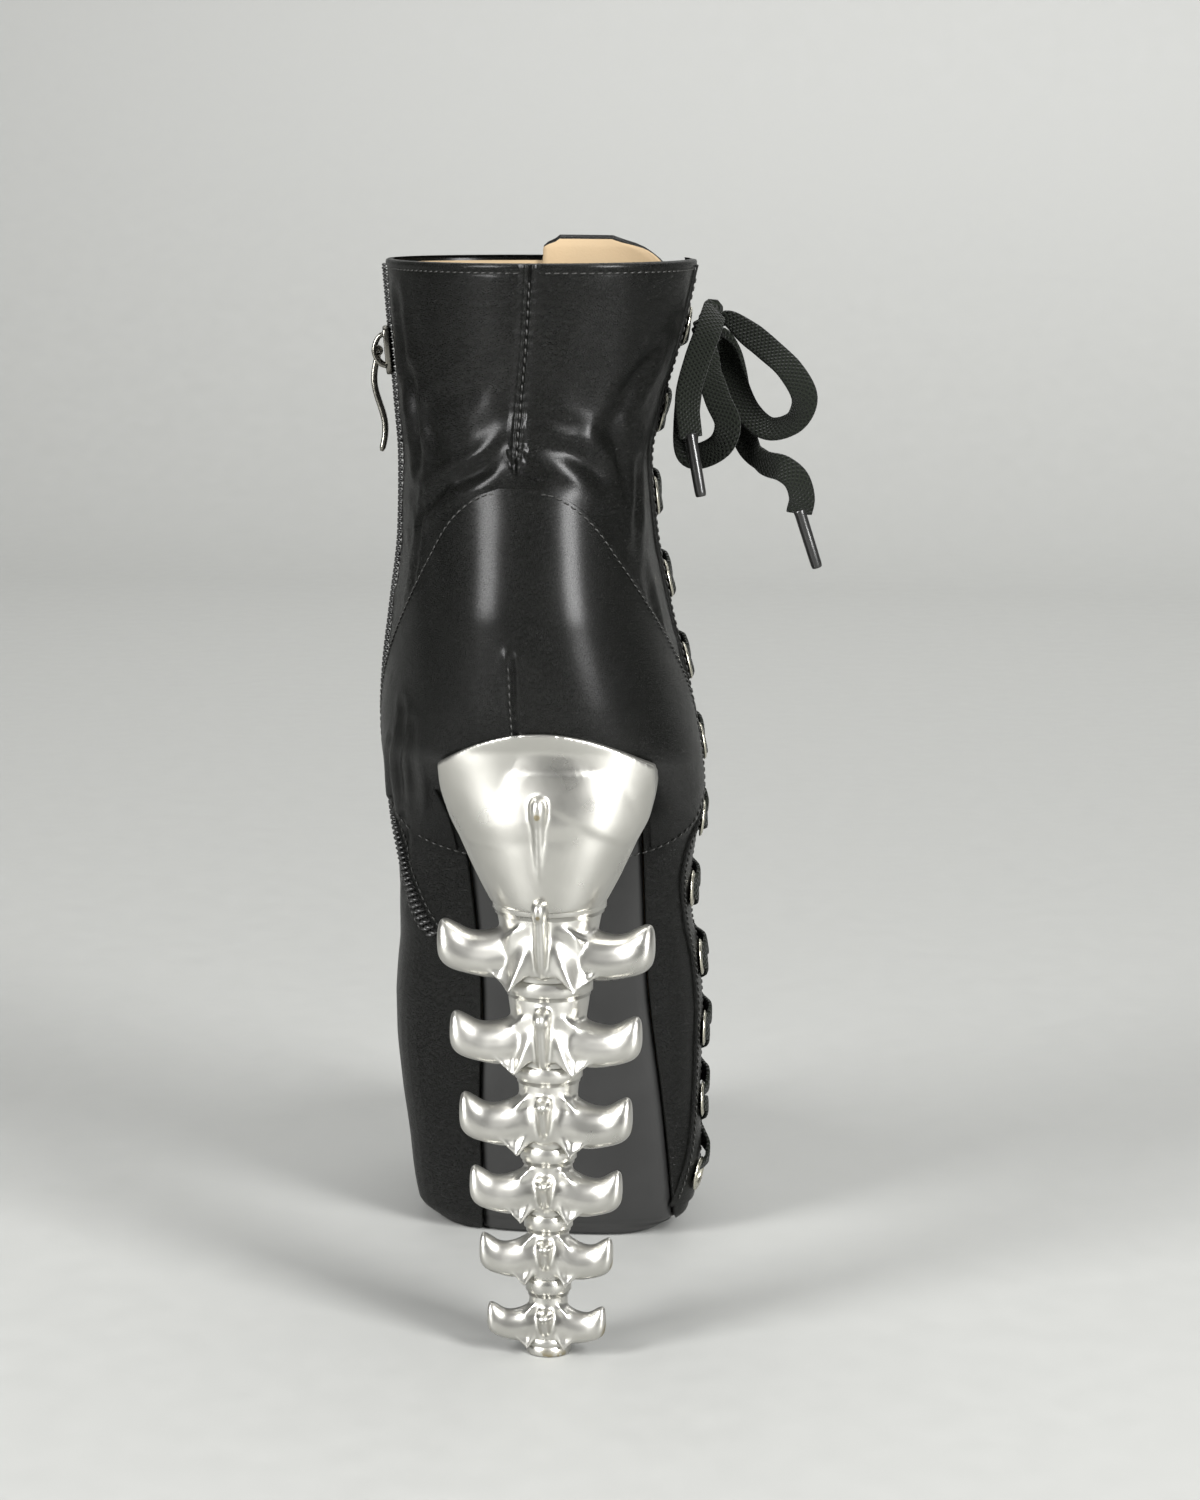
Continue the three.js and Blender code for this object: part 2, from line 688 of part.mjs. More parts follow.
// Round section with its own half width and depth
function ovalRing(z, half, back, front, sides) {
  const middle = (back + front) / 2;
  const ring = [];
  for (let i = 0; i < sides; i += 1) {
    const angle = (i * 2 * Math.PI) / sides;
    const y = middle - ((front - back) / 2) * Math.cos(angle);
    ring.push(new THREE.Vector3(half * Math.sin(angle), y, z));
  }
  return ring;
}

function capSolid() {
  const rings = capSections.map((row) => {
    const z = row.rise * seatHeight;
    const ring = ovalRing(z, row.half * capHalf, row.back * capHalf, row.front * capHalf, 20);
    return ring.map((p) => p.setX(p.x + centreAt(p.y) - centreAt(0)));
  });
  return ringSolid(rings);
}

// The spine's drums: each narrows from its band to the next one
function columnSolid() {
  const rings = [];
  let above = capNeck;
  const bandHeight = 0.025 * seatHeight;
  let top = capSections[0].rise * seatHeight + 1;
  const ring = (z, radius) => ovalRing(z, radius, axisAt(z) - radius, axisAt(z) + radius, 12);
  for (const vertebra of vertebrae) {
    const high = vertebra.high * seatHeight;
    const low = vertebra.low * seatHeight;
    rings.push(ring(top, above), ring(top - bandHeight, above));
    rings.push(ring((high + low) / 2, (above + vertebra.band) * 0.47));
    top = low - 0.2 * bandHeight;
    above = vertebra.band;
  }
  rings.push(ring(tipHeight + clearance, tipRadius - 0.4));
  return ringSolid(rings);
}

// One side process: a swelling bar that dips and then curls up to a blunt end
const wingStations = [
  { reach: 0.1, rise: 0.45, half: 0.38, deep: 0.3, back: 0 },
  { reach: 0.5, rise: 0.34, half: 0.33, deep: 0.24, back: 0.1 },
  { reach: 0.75, rise: 0.43, half: 0.31, deep: 0.2, back: 0.17 },
  { reach: 0.95, rise: 0.62, half: 0.38, deep: 0.19, back: 0.2 },
  { reach: 1, rise: 0.62, half: 0.24, deep: 0.12, back: 0.2 },
];

function wingSolid(vertebra, side) {
  const high = vertebra.high * seatHeight;
  const tall = high - vertebra.low * seatHeight;
  const corners = [[1, 0.1], [0.6, 0.85], [-0.6, 0.85], [-1, 0.1], [-0.6, -0.9], [0.6, -0.9]];
  const rings = wingStations.map((station) => {
    const x = side * station.reach * vertebra.span;
    const z = high - tall + station.rise * tall;
    const y = axisAt(z) - station.back * vertebra.span;
    const deep = station.deep * vertebra.span;
    const half = station.half * tall;
    return corners.map(([dy, dz]) => new THREE.Vector3(x, y + dy * deep, z + dz * half));
  });
  return ringSolid(rings);
}

// One pointed lobe that hangs behind the drum, beside the fin
function lobeSolid(vertebra, side) {
  const high = vertebra.high * seatHeight;
  const tall = high - vertebra.low * seatHeight;
  const rings = [[0.55, 0.24, 0.3], [0.2, 0.2, 0.36], [-0.12, 0.05, 0.33]].map(([rise, wide, back]) => {
    const z = high - tall + rise * tall;
    const centre = new THREE.Vector3(side * 0.31 * vertebra.span, axisAt(z) - back * vertebra.span, z);
    return Array.from({ length: 6 }, (_, i) => {
      const angle = (i * Math.PI) / 3;
      const reach = wide * vertebra.span * 0.75;
      return new THREE.Vector3(Math.cos(angle) * reach, Math.sin(angle) * reach, 0).add(centre);
    });
  });
  return ringSolid(rings);
}

// One fin along the back of the heel, with a rounded knob at its top
function finSolid(high, low, root, reach, rootLow) {
  const width = finWidth;
  const knob = width * 0.6;
  const outline = [
    [root, high - knob],
    [root - reach + knob, high],
    [root - reach, high - 0.4 * knob],
    [root - reach - 0.4 * knob, high - 1.6 * knob],
    [root - reach * 0.75, high - 3 * knob],
    [rootLow - reach * 0.35, low + 1],
    [rootLow, low],
    [rootLow + 2 * width, low],
    [root + 2 * width, high - knob],
  ];
  return sideExtrusion(outline, -width / 2, width / 2);
}

function makeHeel() {
  const parts = [capSolid(), columnSolid()];
  let neck = capNeck;
  for (const vertebra of vertebrae) {
    const high = vertebra.high * seatHeight;
    const low = vertebra.low * seatHeight;
    for (const side of [-1, 1]) {
      parts.push(wingSolid(vertebra, side), lobeSolid(vertebra, side));
    }
    const root = axisAt(high) - neck;
    parts.push(finSolid(high + 0.035 * seatHeight, low, root + 1, vertebra.span * 0.24, root + 2));
    neck = vertebra.band;
  }
  const capBack = capSections[3].back * capHalf;
  parts.push(finSolid(0.925 * seatHeight, 0.775 * seatHeight, capBack + 2, 7, capBack + 3));
  const whole = unite(parts);
  const seat = lastSolid(overlayStep + clearance, seatHeight * 0.7, seatHeight * 1.1);
  const breast = sideExtrusion(
    [
      [breastReach, 0.7 * seatHeight],
      [breastReach, 1.1 * seatHeight],
      [planLength, 1.1 * seatHeight],
      [planLength, 0.7 * seatHeight],
    ],
    -ballWidth,
    ballWidth,
  );
  const aboveTip = lastFloor(tipHeight + clearance);
  return whole.subtract(seat).subtract(breast).subtract(aboveTip);
}

// Everything below a height near the heel
function lastFloor(height) {
  const box = new THREE.BoxGeometry(ballWidth, ballWidth, 20);
  return solidFrom(box.translate(0, 0, height - 10));
}

function makeHeelTip() {
  const profile = [
    [0, 0],
    [tipRadius - 0.5, 0],
    [tipRadius, 0.6],
    [tipRadius, tipHeight],
    [0, tipHeight],
  ];
  const lathe = new THREE.LatheGeometry(profile.map(([r, z]) => new THREE.Vector2(r, z)), 20);
  return solidFrom(lathe.rotateX(Math.PI / 2));
}

// Eyelets

function makeEyelet(place) {
  const low = -upperWall + 0.2;
  const profile = [
    [eyeletHole, low],
    [eyeletBarrel, low],
    [eyeletBarrel, eyeletSeat],
    [eyeletRadius, eyeletSeat],
    [eyeletHole, eyeletSeat + eyeletFlange],
    [eyeletHole, low],
  ];
  const lathe = new THREE.LatheGeometry(profile.map(([r, y]) => new THREE.Vector2(r, y)), 8);
  return solidFrom(placeOn(frameAt(place.z, place.turn), lathe, 0));
}

// Lace crossings: every pair of neighbouring heights is joined by an X of two bars

function laceBar(from, to, lift) {
  const bottom = eyeletSeat + eyeletFlange + 2 * clearance + lift;
  const grid = (out) =>
    [0, 0.14, 0.5, 0.86, 1].map((t) => {
      const z = from.z + (to.z - from.z) * t;
      const turn = from.turn + (to.turn - from.turn) * t;
      const frame = frameAt(z, turn);
      const ahead = surfacePoint(z + (to.z - from.z) * 0.05, turn + (to.turn - from.turn) * 0.05, 0);
      const run = ahead.sub(frame.origin).normalize();
      const across = new THREE.Vector3().crossVectors(frame.n, run).normalize();
      const centre = frame.origin.clone().addScaledVector(frame.n, out);
      return [-1, 1].map((side) => centre.clone().addScaledVector(across, (side * laceWidth) / 2));
    });
  return sheetSolid(grid(bottom + laceThickness), grid(bottom));
}

function makeLaceCrossings() {
  const heights = evenly(lowestEyelet, highestEyelet, eyeletCount);
  const bars = [];
  for (let i = 0; i + 1 < eyeletCount; i += 1) {
    const low = heights[i];
    const high = heights[i + 1];
    const rising = [{ z: low, turn: rowTurn(low) }, { z: high, turn: otherRowTurn(high) }];
    const falling = [{ z: high, turn: rowTurn(high) }, { z: low, turn: otherRowTurn(low) }];
    bars.push(laceBar(...rising, laceThickness / 2), laceBar(...falling, 0));
  }
  return unite(bars);
}

// Bow, tied at the top of the lacing on the outer side. Its points are chosen by hand.

const knotCentre = new THREE.Vector3(35.6, 49.5, 268.6);
const knotHalf = new THREE.Vector3(4.2, 4.6, 4.4);
const agletRadius = 1.6;
const bowCords = {
  lace_loop_1: [
    [37.2, 49, 270], [41.2, 48, 272.2], [47, 45, 268.6], [53, 42, 264.2], [59, 39, 259],
    [62.8, 38, 252], [60, 40, 245.6], [53, 43.6, 243.4], [47, 47, 247.6], [43, 50, 255.5],
    [41.2, 51.2, 263.2], [37.4, 50, 266.6],
  ],
  lace_loop_2: [
    [36, 48.4, 267], [37.2, 45, 262.2], [37.4, 42.8, 257.4], [39.6, 41, 251], [42.3, 40, 245],
    [40.4, 42, 239.2], [34.6, 45.4, 235.8], [30.4, 50, 236.6], [29.6, 54.5, 244],
    [30.6, 56, 254.4], [33.4, 54.8, 262.4], [35, 51, 267],
  ],
  lace_end_1: [
    [35.8, 48, 270], [36.6, 43.6, 272.6], [38.8, 37.6, 274.4], [38, 31.4, 270],
    [35.2, 28.8, 261.6], [33, 28, 252], [33.7, 29, 242],
  ],
  lace_end_2: [
    [37, 51, 268], [39.6, 55.2, 266.6], [42, 56, 258.6], [43.6, 53.6, 251.4], [46.4, 49, 239.6],
    [51.6, 43, 234.6], [57.2, 38, 233.4], [61, 36.4, 230.6], [62.4, 37.6, 225.8], [61.6, 39, 221.6],
  ],
};
const agletEnds = {
  aglet_1: { from: [33.6, 29, 243], to: [36.7, 28, 226.6] },
  aglet_2: { from: [61.6, 39, 222.4], to: [66.5, 40, 206.9] },
};

// Flat lace along a curve, gathered to half its width at a knot and turned to face one way
function laceTube(list, facing, gatheredEnd) {
  const curve = new THREE.CatmullRomCurve3(list.map((p) => new THREE.Vector3(...p)));
  const steps = Math.ceil(curve.getLength() / 5);
  const rings = evenly(0, 1, steps + 1).map((t) => {
    const centre = curve.getPointAt(t);
    const run = curve.getTangentAt(t);
    const flat = new THREE.Vector3(...facing);
    flat.addScaledVector(run, -flat.dot(run)).normalize();
    const across = new THREE.Vector3().crossVectors(run, flat);
    const nearKnot = Math.min(1, (gatheredEnd ? Math.min(t, 1 - t) : t) / 0.2);
    const half = (laceWidth / 2) * (0.45 + 0.55 * nearKnot) * 0.9;
    return Array.from({ length: 8 }, (_, i) => {
      const angle = (i * Math.PI) / 4;
      const p = centre.clone().addScaledVector(across, half * Math.cos(angle));
      return p.addScaledVector(flat, laceThickness * 0.6 * Math.sin(angle));
    });
  });
  return ringSolid(rings);
}

function makeAglet(ends) {
  const from = new THREE.Vector3(...ends.from);
  const to = new THREE.Vector3(...ends.to);
  const run = to.clone().sub(from);
  const rod = new THREE.CylinderGeometry(agletRadius, agletRadius, run.length(), 8);
  const turn = new THREE.Quaternion().setFromUnitVectors(new THREE.Vector3(0, 1, 0), run.normalize());
  rod.applyQuaternion(turn).translate(...from.add(to).multiplyScalar(0.5).toArray());
  return solidFrom(rod);
}

function makeKnot() {
  const ball = new THREE.SphereGeometry(1, 12, 8).scale(...knotHalf.toArray());
  return solidFrom(ball.translate(...knotCentre.toArray()));
}

// Every piece of the bow gives way to those before it, so that they meet face to face
function makeBow(crossings) {
  const whole = {
    lace_knot: makeKnot(),
    lace_loop_1: laceTube(bowCords.lace_loop_1, [0, -1, 0.4], true),
    lace_loop_2: laceTube(bowCords.lace_loop_2, [0.4, -1, 0], true),
    lace_end_1: laceTube(bowCords.lace_end_1, [0.5, -1, 0.2], false),
    lace_end_2: laceTube(bowCords.lace_end_2, [0.3, -1, 0.3], false),
    aglet_1: makeAglet(agletEnds.aglet_1),
    aglet_2: makeAglet(agletEnds.aglet_2),
  };
  let taken = crossings;
  return Object.entries(whole).map(([name, solid]) => {
    const bodies = solid.subtract(taken).decompose();
    const largest = bodies.reduce((best, body) => (body.volume() > best.volume() ? body : best));
    taken = taken.add(largest);
    return [name, largest];
  });
}

// Assembly

const boot = new THREE.Group();
boot.name = "heeled_boot";

function material(color, roughness, metalness) {
  return new THREE.MeshStandardMaterial({ color, roughness, metalness });
}

const leather = material(0x16171a, 0.42, 0);
const soleBlack = material(0x1b1b1d, 0.5, 0);
const lining = material(0xb08f63, 0.75, 0);
const plate = material(0xd8d8cf, 0.28, 1);
const nickel = material(0xb9b3a0, 0.3, 1);
const gunmetal = material(0x5a5750, 0.3, 1);
const tapeBlack = material(0x101113, 0.8, 0);
const cotton = material(0x0f110f, 0.9, 0);

function addPart(name, solid, finish) {
  const { vertProperties, triVerts, numProp } = solid.getMesh();
  const geometry = new THREE.BufferGeometry();
  const position = new Float32Array((vertProperties.length / numProp) * 3);
  for (let i = 0; i < position.length / 3; i += 1) {
    position.set(vertProperties.subarray(i * numProp, i * numProp + 3), i * 3);
  }
  geometry.setAttribute("position", new THREE.BufferAttribute(position, 3));
  geometry.setIndex(new THREE.BufferAttribute(new Uint32Array(triVerts), 1));
  geometry.computeVertexNormals();
  const mesh = new THREE.Mesh(geometry, finish);
  mesh.name = name;
  boot.add(mesh);
}

addPart("upper", makeUpper(), leather);
addPart("sole", makeSole(), soleBlack);
addPart("insole", makeInsole(), lining);
addPart("tongue", makeTongue(), leather);
addPart("heel", makeHeel(), plate);
addPart("heel_tip", makeHeelTip(), plate);
addPart("zip_tape", makeZipTape(), tapeBlack);
addPart("zip_slider", makeZipSlider(), gunmetal);
addPart("zip_pull", makeZipPull(), gunmetal);
eyeletPlaces().forEach((place, i) => {
  const number = Math.floor(i / 2) + 1;
  addPart(`eyelet_${place.row}_${String(number).padStart(2, "0")}`, makeEyelet(place), nickel);
});
const crossings = makeLaceCrossings();
addPart("lace_crossings", crossings, cotton);
makeBow(crossings).forEach(([name, solid]) => {
  addPart(name, solid, name.startsWith("aglet") ? tapeBlack : cotton);
});

export default boot;
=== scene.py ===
import math
from collections import namedtuple

import bpy
import numpy as np
from mathutils import Matrix, Vector


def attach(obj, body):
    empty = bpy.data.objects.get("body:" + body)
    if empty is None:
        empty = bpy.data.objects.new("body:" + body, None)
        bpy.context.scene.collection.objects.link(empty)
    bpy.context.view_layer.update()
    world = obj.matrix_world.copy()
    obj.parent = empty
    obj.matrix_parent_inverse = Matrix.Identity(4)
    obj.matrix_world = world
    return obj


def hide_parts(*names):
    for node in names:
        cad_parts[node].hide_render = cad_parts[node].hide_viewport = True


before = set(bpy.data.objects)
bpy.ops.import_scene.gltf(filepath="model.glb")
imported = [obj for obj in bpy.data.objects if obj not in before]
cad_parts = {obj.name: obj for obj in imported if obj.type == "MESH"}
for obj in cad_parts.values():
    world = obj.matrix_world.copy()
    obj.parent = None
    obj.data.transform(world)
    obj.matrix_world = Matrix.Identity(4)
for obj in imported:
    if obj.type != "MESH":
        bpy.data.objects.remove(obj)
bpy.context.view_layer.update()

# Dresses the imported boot. Every size is in millimetres until a mesh is made.
# X points to the outer side of the foot, Y to the toe, Z up, as in the frame.

MM = 0.001

# Main sizes, as in the solids
PLAN_LENGTH = 200
BALL_WIDTH = 90
PLATFORM_HEIGHT = 46
SEAT_HEIGHT = 164
COLLAR_HEIGHT = 288
SWING_ANGLE = 9
UPPER_WALL = 2
OVERLAY_STEP = 0.8
CLEARANCE = 0.3
PANEL_CENTRE = -6
PANEL_RECESS = 0.6
TREAD_INSET = 4.3
THROAT_LOW = 57
FACING_HALF = 8.5
EYELET_COUNT = 12
LOWEST_EYELET = 19
HIGHEST_EYELET = 271
EYELET_RADIUS = 5.2
EYELET_HOLE = 2.7
EYELET_SEAT = OVERLAY_STEP + 0.5
LACE_WIDTH = 7
LACE_THICKNESS = 1.25
ZIP_LOW = 97
ZIP_TOP = 290
ZIP_SLOT = 2.5
SLIDER_HEIGHT = 264
PIN_OUT = 4.6
TIP_RADIUS = 5.9
TIP_HEIGHT = 4.5

# Sections of the last: level 0 floor, 1 footbed at the ball, 2 back of the heel seat, 3 collar.
# back, middle and front are shares of the plan length; half and lean are shares of the ball width.
Section = namedtuple("Section", "level back middle front half lean rear toe")
SECTIONS = [
    Section(0, 0.49, 0.62, 0.815, 0.37, 0.01, 3.4, 2.2),
    Section(0.14, 0.473, 0.6, 0.932, 0.455, 0.017, 3.4, 2.2),
    Section(0.5, 0.442, 0.585, 0.968, 0.481, 0.02, 3.4, 2.3),
    Section(1, 0.4, 0.565, 0.97, 0.493, 0.005, 3.4, 2.3),
    Section(1.14, 0.375, 0.548, 0.952, 0.5, 0, 3.4, 2.3),
    Section(1.21, 0.361, 0.534, 0.915, 0.5, 0, 3.4, 2.25),
    Section(1.28, 0.347, 0.522, 0.81, 0.495, 0, 3.4, 2.15),
    Section(1.37, 0.328, 0.502, 0.72, 0.483, 0, 3.4, 2.1),
    Section(1.47, 0.305, 0.47, 0.643, 0.468, -0.01, 3.5, 2.1),
    Section(1.58, 0.278, 0.44, 0.583, 0.463, -0.011, 3.5, 2.1),
    Section(1.69, 0.243, 0.385, 0.539, 0.471, -0.008, 3.6, 2.1),
    Section(1.77, 0.202, 0.318, 0.511, 0.477, -0.003, 3.7, 2.1),
    Section(1.85, 0.13, 0.28, 0.485, 0.482, -0.005, 3.7, 2.1),
    Section(1.93, 0.038, 0.262, 0.465, 0.481, -0.013, 3.4, 2.1),
    Section(2, -0.05, 0.25, 0.45, 0.475, -0.022, 2.5, 2.1),
    Section(2.1, -0.067, 0.244, 0.434, 0.457, -0.032, 2.25, 2.1),
    Section(2.26, -0.069, 0.23, 0.41, 0.416, -0.044, 2.15, 2.1),
    Section(2.42, -0.053, 0.21, 0.388, 0.381, -0.051, 2.1, 2.1),
    Section(2.58, -0.028, 0.195, 0.375, 0.369, -0.057, 2.1, 2.1),
    Section(2.7, -0.022, 0.188, 0.369, 0.39, -0.047, 2.1, 2.1),
    Section(2.84, -0.034, 0.182, 0.364, 0.425, -0.027, 2.1, 2.1),
    Section(3, -0.05, 0.175, 0.36, 0.459, -0.01, 2.1, 2.1),
]

# The footbed seen from the side
Footbed = namedtuple("Footbed", "along level")
FOOTBED = [
    Footbed(-0.15, 2.14), Footbed(-0.05, 2.06), Footbed(0.055, 1.978), Footbed(0.13, 1.913),
    Footbed(0.205, 1.838), Footbed(0.277, 1.7), Footbed(0.34, 1.47), Footbed(0.378, 1.305),
    Footbed(0.42, 1.17), Footbed(0.465, 1.07), Footbed(0.515, 1.015), Footbed(0.575, 1),
    Footbed(1.05, 1),
]

# Half width of the bare panel under the arch
Panel = namedtuple("Panel", "level half")
PANEL = [
    Panel(-0.05, 0.33), Panel(0.2, 0.32), Panel(0.87, 0.305), Panel(1.35, 0.27),
    Panel(1.6, 0.275), Panel(1.86, 0.29),
]

# The outer eyelet row and the way round to the other row
Lacing = namedtuple("Lacing", "level along gap")
LACING = [
    Lacing(0.2, 0.525, 0.53), Lacing(0.9, 0.515, 0.53), Lacing(1.15, 0.49, 0.54),
    Lacing(1.35, 0.45, 0.55), Lacing(1.55, 0.385, 0.57), Lacing(1.75, 0.325, 0.58),
    Lacing(1.95, 0.28, 0.59), Lacing(2.3, 0.235, 0.61), Lacing(2.6, 0.2, 0.66),
    Lacing(3, 0.185, 0.73),
]

# The zip's line on the inner side
Zip = namedtuple("Zip", "level along")
ZIP_LINE = [
    Zip(1.43, 0.333), Zip(1.56, 0.335), Zip(1.68, 0.315), Zip(1.78, 0.29), Zip(2.0, 0.25),
    Zip(2.3, 0.205), Zip(2.6, 0.18), Zip(3, 0.18),
]

# How far the counter reaches round each side, in degrees from the back
Counter = namedtuple("Counter", "level turn")
COUNTER = [
    Counter(1.66, 12), Counter(1.69, 36), Counter(1.73, 58), Counter(1.79, 77), Counter(1.88, 89),
    Counter(2.03, 86), Counter(2.15, 75), Counter(2.27, 60), Counter(2.38, 46), Counter(2.47, 33),
    Counter(2.52, 20), Counter(2.545, 6),
]


# Shape of the last

def height_at(level):
    if level <= 1:
        return level * PLATFORM_HEIGHT
    if level <= 2:
        return PLATFORM_HEIGHT + (level - 1) * (SEAT_HEIGHT - PLATFORM_HEIGHT)
    return SEAT_HEIGHT + (level - 2) * (COLLAR_HEIGHT - SEAT_HEIGHT)


def smooth(table, name, scale=1.0):
    """Curve over height through one column of a table, which never overshoots its rows."""
    z = np.array([height_at(row.level) for row in table], float)
    return curve_through(z, np.array([getattr(row, name) for row in table], float) * scale)


def curve_through(z, v):
    slope = np.diff(v) / np.diff(z)
    tangent = np.empty_like(v)
    tangent[0] = slope[0]
    tangent[-1] = slope[-1]
    same = slope[:-1] * slope[1:] > 0
    total = np.where(same, slope[:-1] + slope[1:], 1)
    tangent[1:-1] = np.where(same, 2 * slope[:-1] * slope[1:] / total, 0)

    def curve(height):
        h = np.clip(height, z[0], z[-1])
        i = np.clip(np.searchsorted(z, h, side="right") - 1, 0, len(z) - 2)
        step = z[i + 1] - z[i]
        t = (h - z[i]) / step
        start = (2 * t**3 - 3 * t**2 + 1) * v[i] + (t**3 - 2 * t**2 + t) * step * tangent[i]
        return start + (3 * t**2 - 2 * t**3) * v[i + 1] + (t**3 - t**2) * step * tangent[i + 1]

    return curve


last_back = smooth(SECTIONS, "back", PLAN_LENGTH)
last_middle = smooth(SECTIONS, "middle", PLAN_LENGTH)
last_front = smooth(SECTIONS, "front", PLAN_LENGTH)
last_half = smooth(SECTIONS, "half", BALL_WIDTH)
last_lean = smooth(SECTIONS, "lean", BALL_WIDTH)
last_rear = smooth(SECTIONS, "rear")
last_toe = smooth(SECTIONS, "toe")
panel_half = smooth(PANEL, "half", BALL_WIDTH)
lacing_along = smooth(LACING, "along", PLAN_LENGTH)
lacing_gap = smooth(LACING, "gap", BALL_WIDTH)
zip_along = smooth(ZIP_LINE, "along", PLAN_LENGTH)
counter_turn = smooth(COUNTER, "turn")
PANEL_TOP = height_at(PANEL[-1].level)


def centre_at(y):
    """The last's centreline swings to the inner side towards the toe."""
    return -math.tan(math.radians(SWING_ANGLE)) * 0.5 * (y + np.hypot(y, 20))


def slope_of(curve, z):
    return curve(z + 0.5) - curve(z - 0.5)


def section_point(z, turn, out=0.0):
    """Point of the last. Turn 0 is the back, 90 the outer side, 180 the front, 270 the inner side."""
    z, turn = np.broadcast_arrays(np.asarray(z, float), np.asarray(turn, float))
    c = np.cos(np.radians(turn))
    s = np.sin(np.radians(turn))
    middle = last_middle(z)
    half = last_half(z) + out * np.hypot(1, slope_of(last_half, z))
    rear_depth = middle - last_back(z) + out * np.hypot(1, slope_of(last_back, z))
    front_depth = last_front(z) - middle + out * np.hypot(1, slope_of(last_front, z))
    power = np.where(c > 0, last_rear(z), last_toe(z))
    depth = np.where(c > 0, rear_depth, front_depth)
    y = middle - np.sign(c) * depth * np.abs(c) ** (2 / power)
    x = centre_at(y) + last_lean(z) + np.sign(s) * half * np.abs(s) ** (2 / power)
    return np.stack([x, y, z], -1)


def lengths_along(line):
    """Length of a line from its start to each of its points."""
    return np.concatenate([[0], np.cumsum(np.linalg.norm(np.diff(line, axis=0), axis=1))])


def unit(v):
    return v / np.maximum(np.linalg.norm(v, axis=-1, keepdims=True), 1e-9)


def surface_frame(z, turn):
    """Point on the last with its directions round, up and out."""
    z = np.asarray(z, float)
    turn = np.asarray(turn, float)
    low = np.minimum(z, COLLAR_HEIGHT - 0.5)
    round_way = unit(section_point(low, turn + 1) - section_point(low, turn - 1))
    up = section_point(low + 0.5, turn) - section_point(low - 0.5, turn)
    out = unit(np.cross(round_way, up))
    return section_point(z, turn), round_way, np.cross(out, round_way), out


def quarter_turns(count):
    """Turns over two whole rounds, closer together where the section curves fast."""
    w = np.linspace(-2, 6, 8 * count + 1)
    whole = np.floor(w)
    part = w - whole
    return 90 * (whole + part * part * (3 - 2 * part))


TURNS = quarter_turns(40)
arc_cache = {}


def arc(z):
    """Lengths round the section at a height, one for each of TURNS, zero at the back."""
    key = round(float(z), 3)
    if key not in arc_cache:
        lengths = lengths_along(section_point(key, TURNS))
        arc_cache[key] = lengths - np.interp(0, TURNS, lengths)
    return arc_cache[key]


def along_section(z, turn):
    return np.interp(turn, TURNS, arc(z))


def turn_along(z, length):
    return np.interp(length, arc(z), TURNS)


def turn_away(z, start, distance):
    return turn_along(z, along_section(z, start) + distance)


def spread(z, start, end, count):
    lengths = np.linspace(along_section(z, start), along_section(z, end), count)
    return turn_along(z, lengths)


def spread_between(z, breaks, counts):
    """Turns from the first break up to the last, with a count of columns between each two."""
    runs = [spread(z, a, b, count + 1)[:-1] for a, b, count in zip(breaks, breaks[1:], counts)]
    return np.concatenate(runs)


def way_round(z, turn):
    """Length round the section from the back seam, to the outer side positive."""
    return along_section(z, np.where(turn > 180, turn - 360, turn))


def laid(rows, turns, relief):
    """Points on the last at rows of turns, moved out by relief(z, way), and their directions out."""
    turns = np.array(turns)
    z = np.repeat(rows[:, None], turns.shape[1], 1)
    way = np.array([way_round(height, row) for height, row in zip(rows, turns)])
    point, _, _, out = surface_frame(z, turns)
    raised = np.broadcast_to(relief(z, way), z.shape)
    return (point + out * raised[..., None]).reshape(-1, 3), out.reshape(-1, 3)


def half_shape(z, y, inset=0.0):
    """Whether y lies behind the last's middle, its share of the depth there, and the curve's power."""
    middle = last_middle(z)
    behind = y < middle
    depth = (middle - last_back(z) if behind else last_front(z) - middle) - inset
    return behind, min(1.0, abs(middle - y) / depth), last_rear(z) if behind else last_toe(z)


def turn_at(z, y, side):
    """The turn of the point at y on the outer side (side 1) or the inner side (side -1)."""
    behind, share, power = half_shape(z, y)
    away = math.degrees(math.asin(share ** (power / 2)))
    turn = 90 - away if behind else 90 + away
    return turn if side > 0 else 360 - turn


def row_turn(z):
    return turn_at(z, lacing_along(z), 1)


def other_row_turn(z):
    return turn_away(z, row_turn(z), lacing_gap(z))


def zip_turn(z):
    return turn_at(z, zip_along(z), -1)


def panel_turn(z, side, wider=0.0):
    """Where the edge of the bare panel lies: side 1 is the outer edge, side -1 the inner one."""
    centre = centre_at(last_back(z)) + last_lean(z)
    x = PANEL_CENTRE + side * (panel_half(z) + wider) - centre
    share = min(1.0, abs(x) / last_half(z))
    return math.copysign(math.degrees(math.asin(share ** (last_rear(z) / 2))), x)


def soft_step(value, low, high):
    t = np.clip((np.asarray(value, float) - low) / (high - low), 0, 1)
    return t * t * (3 - 2 * t)


def heights(low, high, step):
    """Heights whose rings lie about a step apart on the surface."""
    z = np.arange(low, high + 0.05, 0.1)
    turns = np.array([0, 60, 180, 270])[:, None]
    speed = np.linalg.norm(np.gradient(section_point(z[None, :], turns), 0.1, axis=1), axis=-1)
    lengths = np.concatenate([[0], np.cumsum(np.clip(speed.max(0)[1:], 1, 2.5) * 0.1)])
    count = max(2, int(round(lengths[-1] / step)) + 1)
    return np.interp(np.linspace(0, lengths[-1], count), lengths, z)


# Meshes

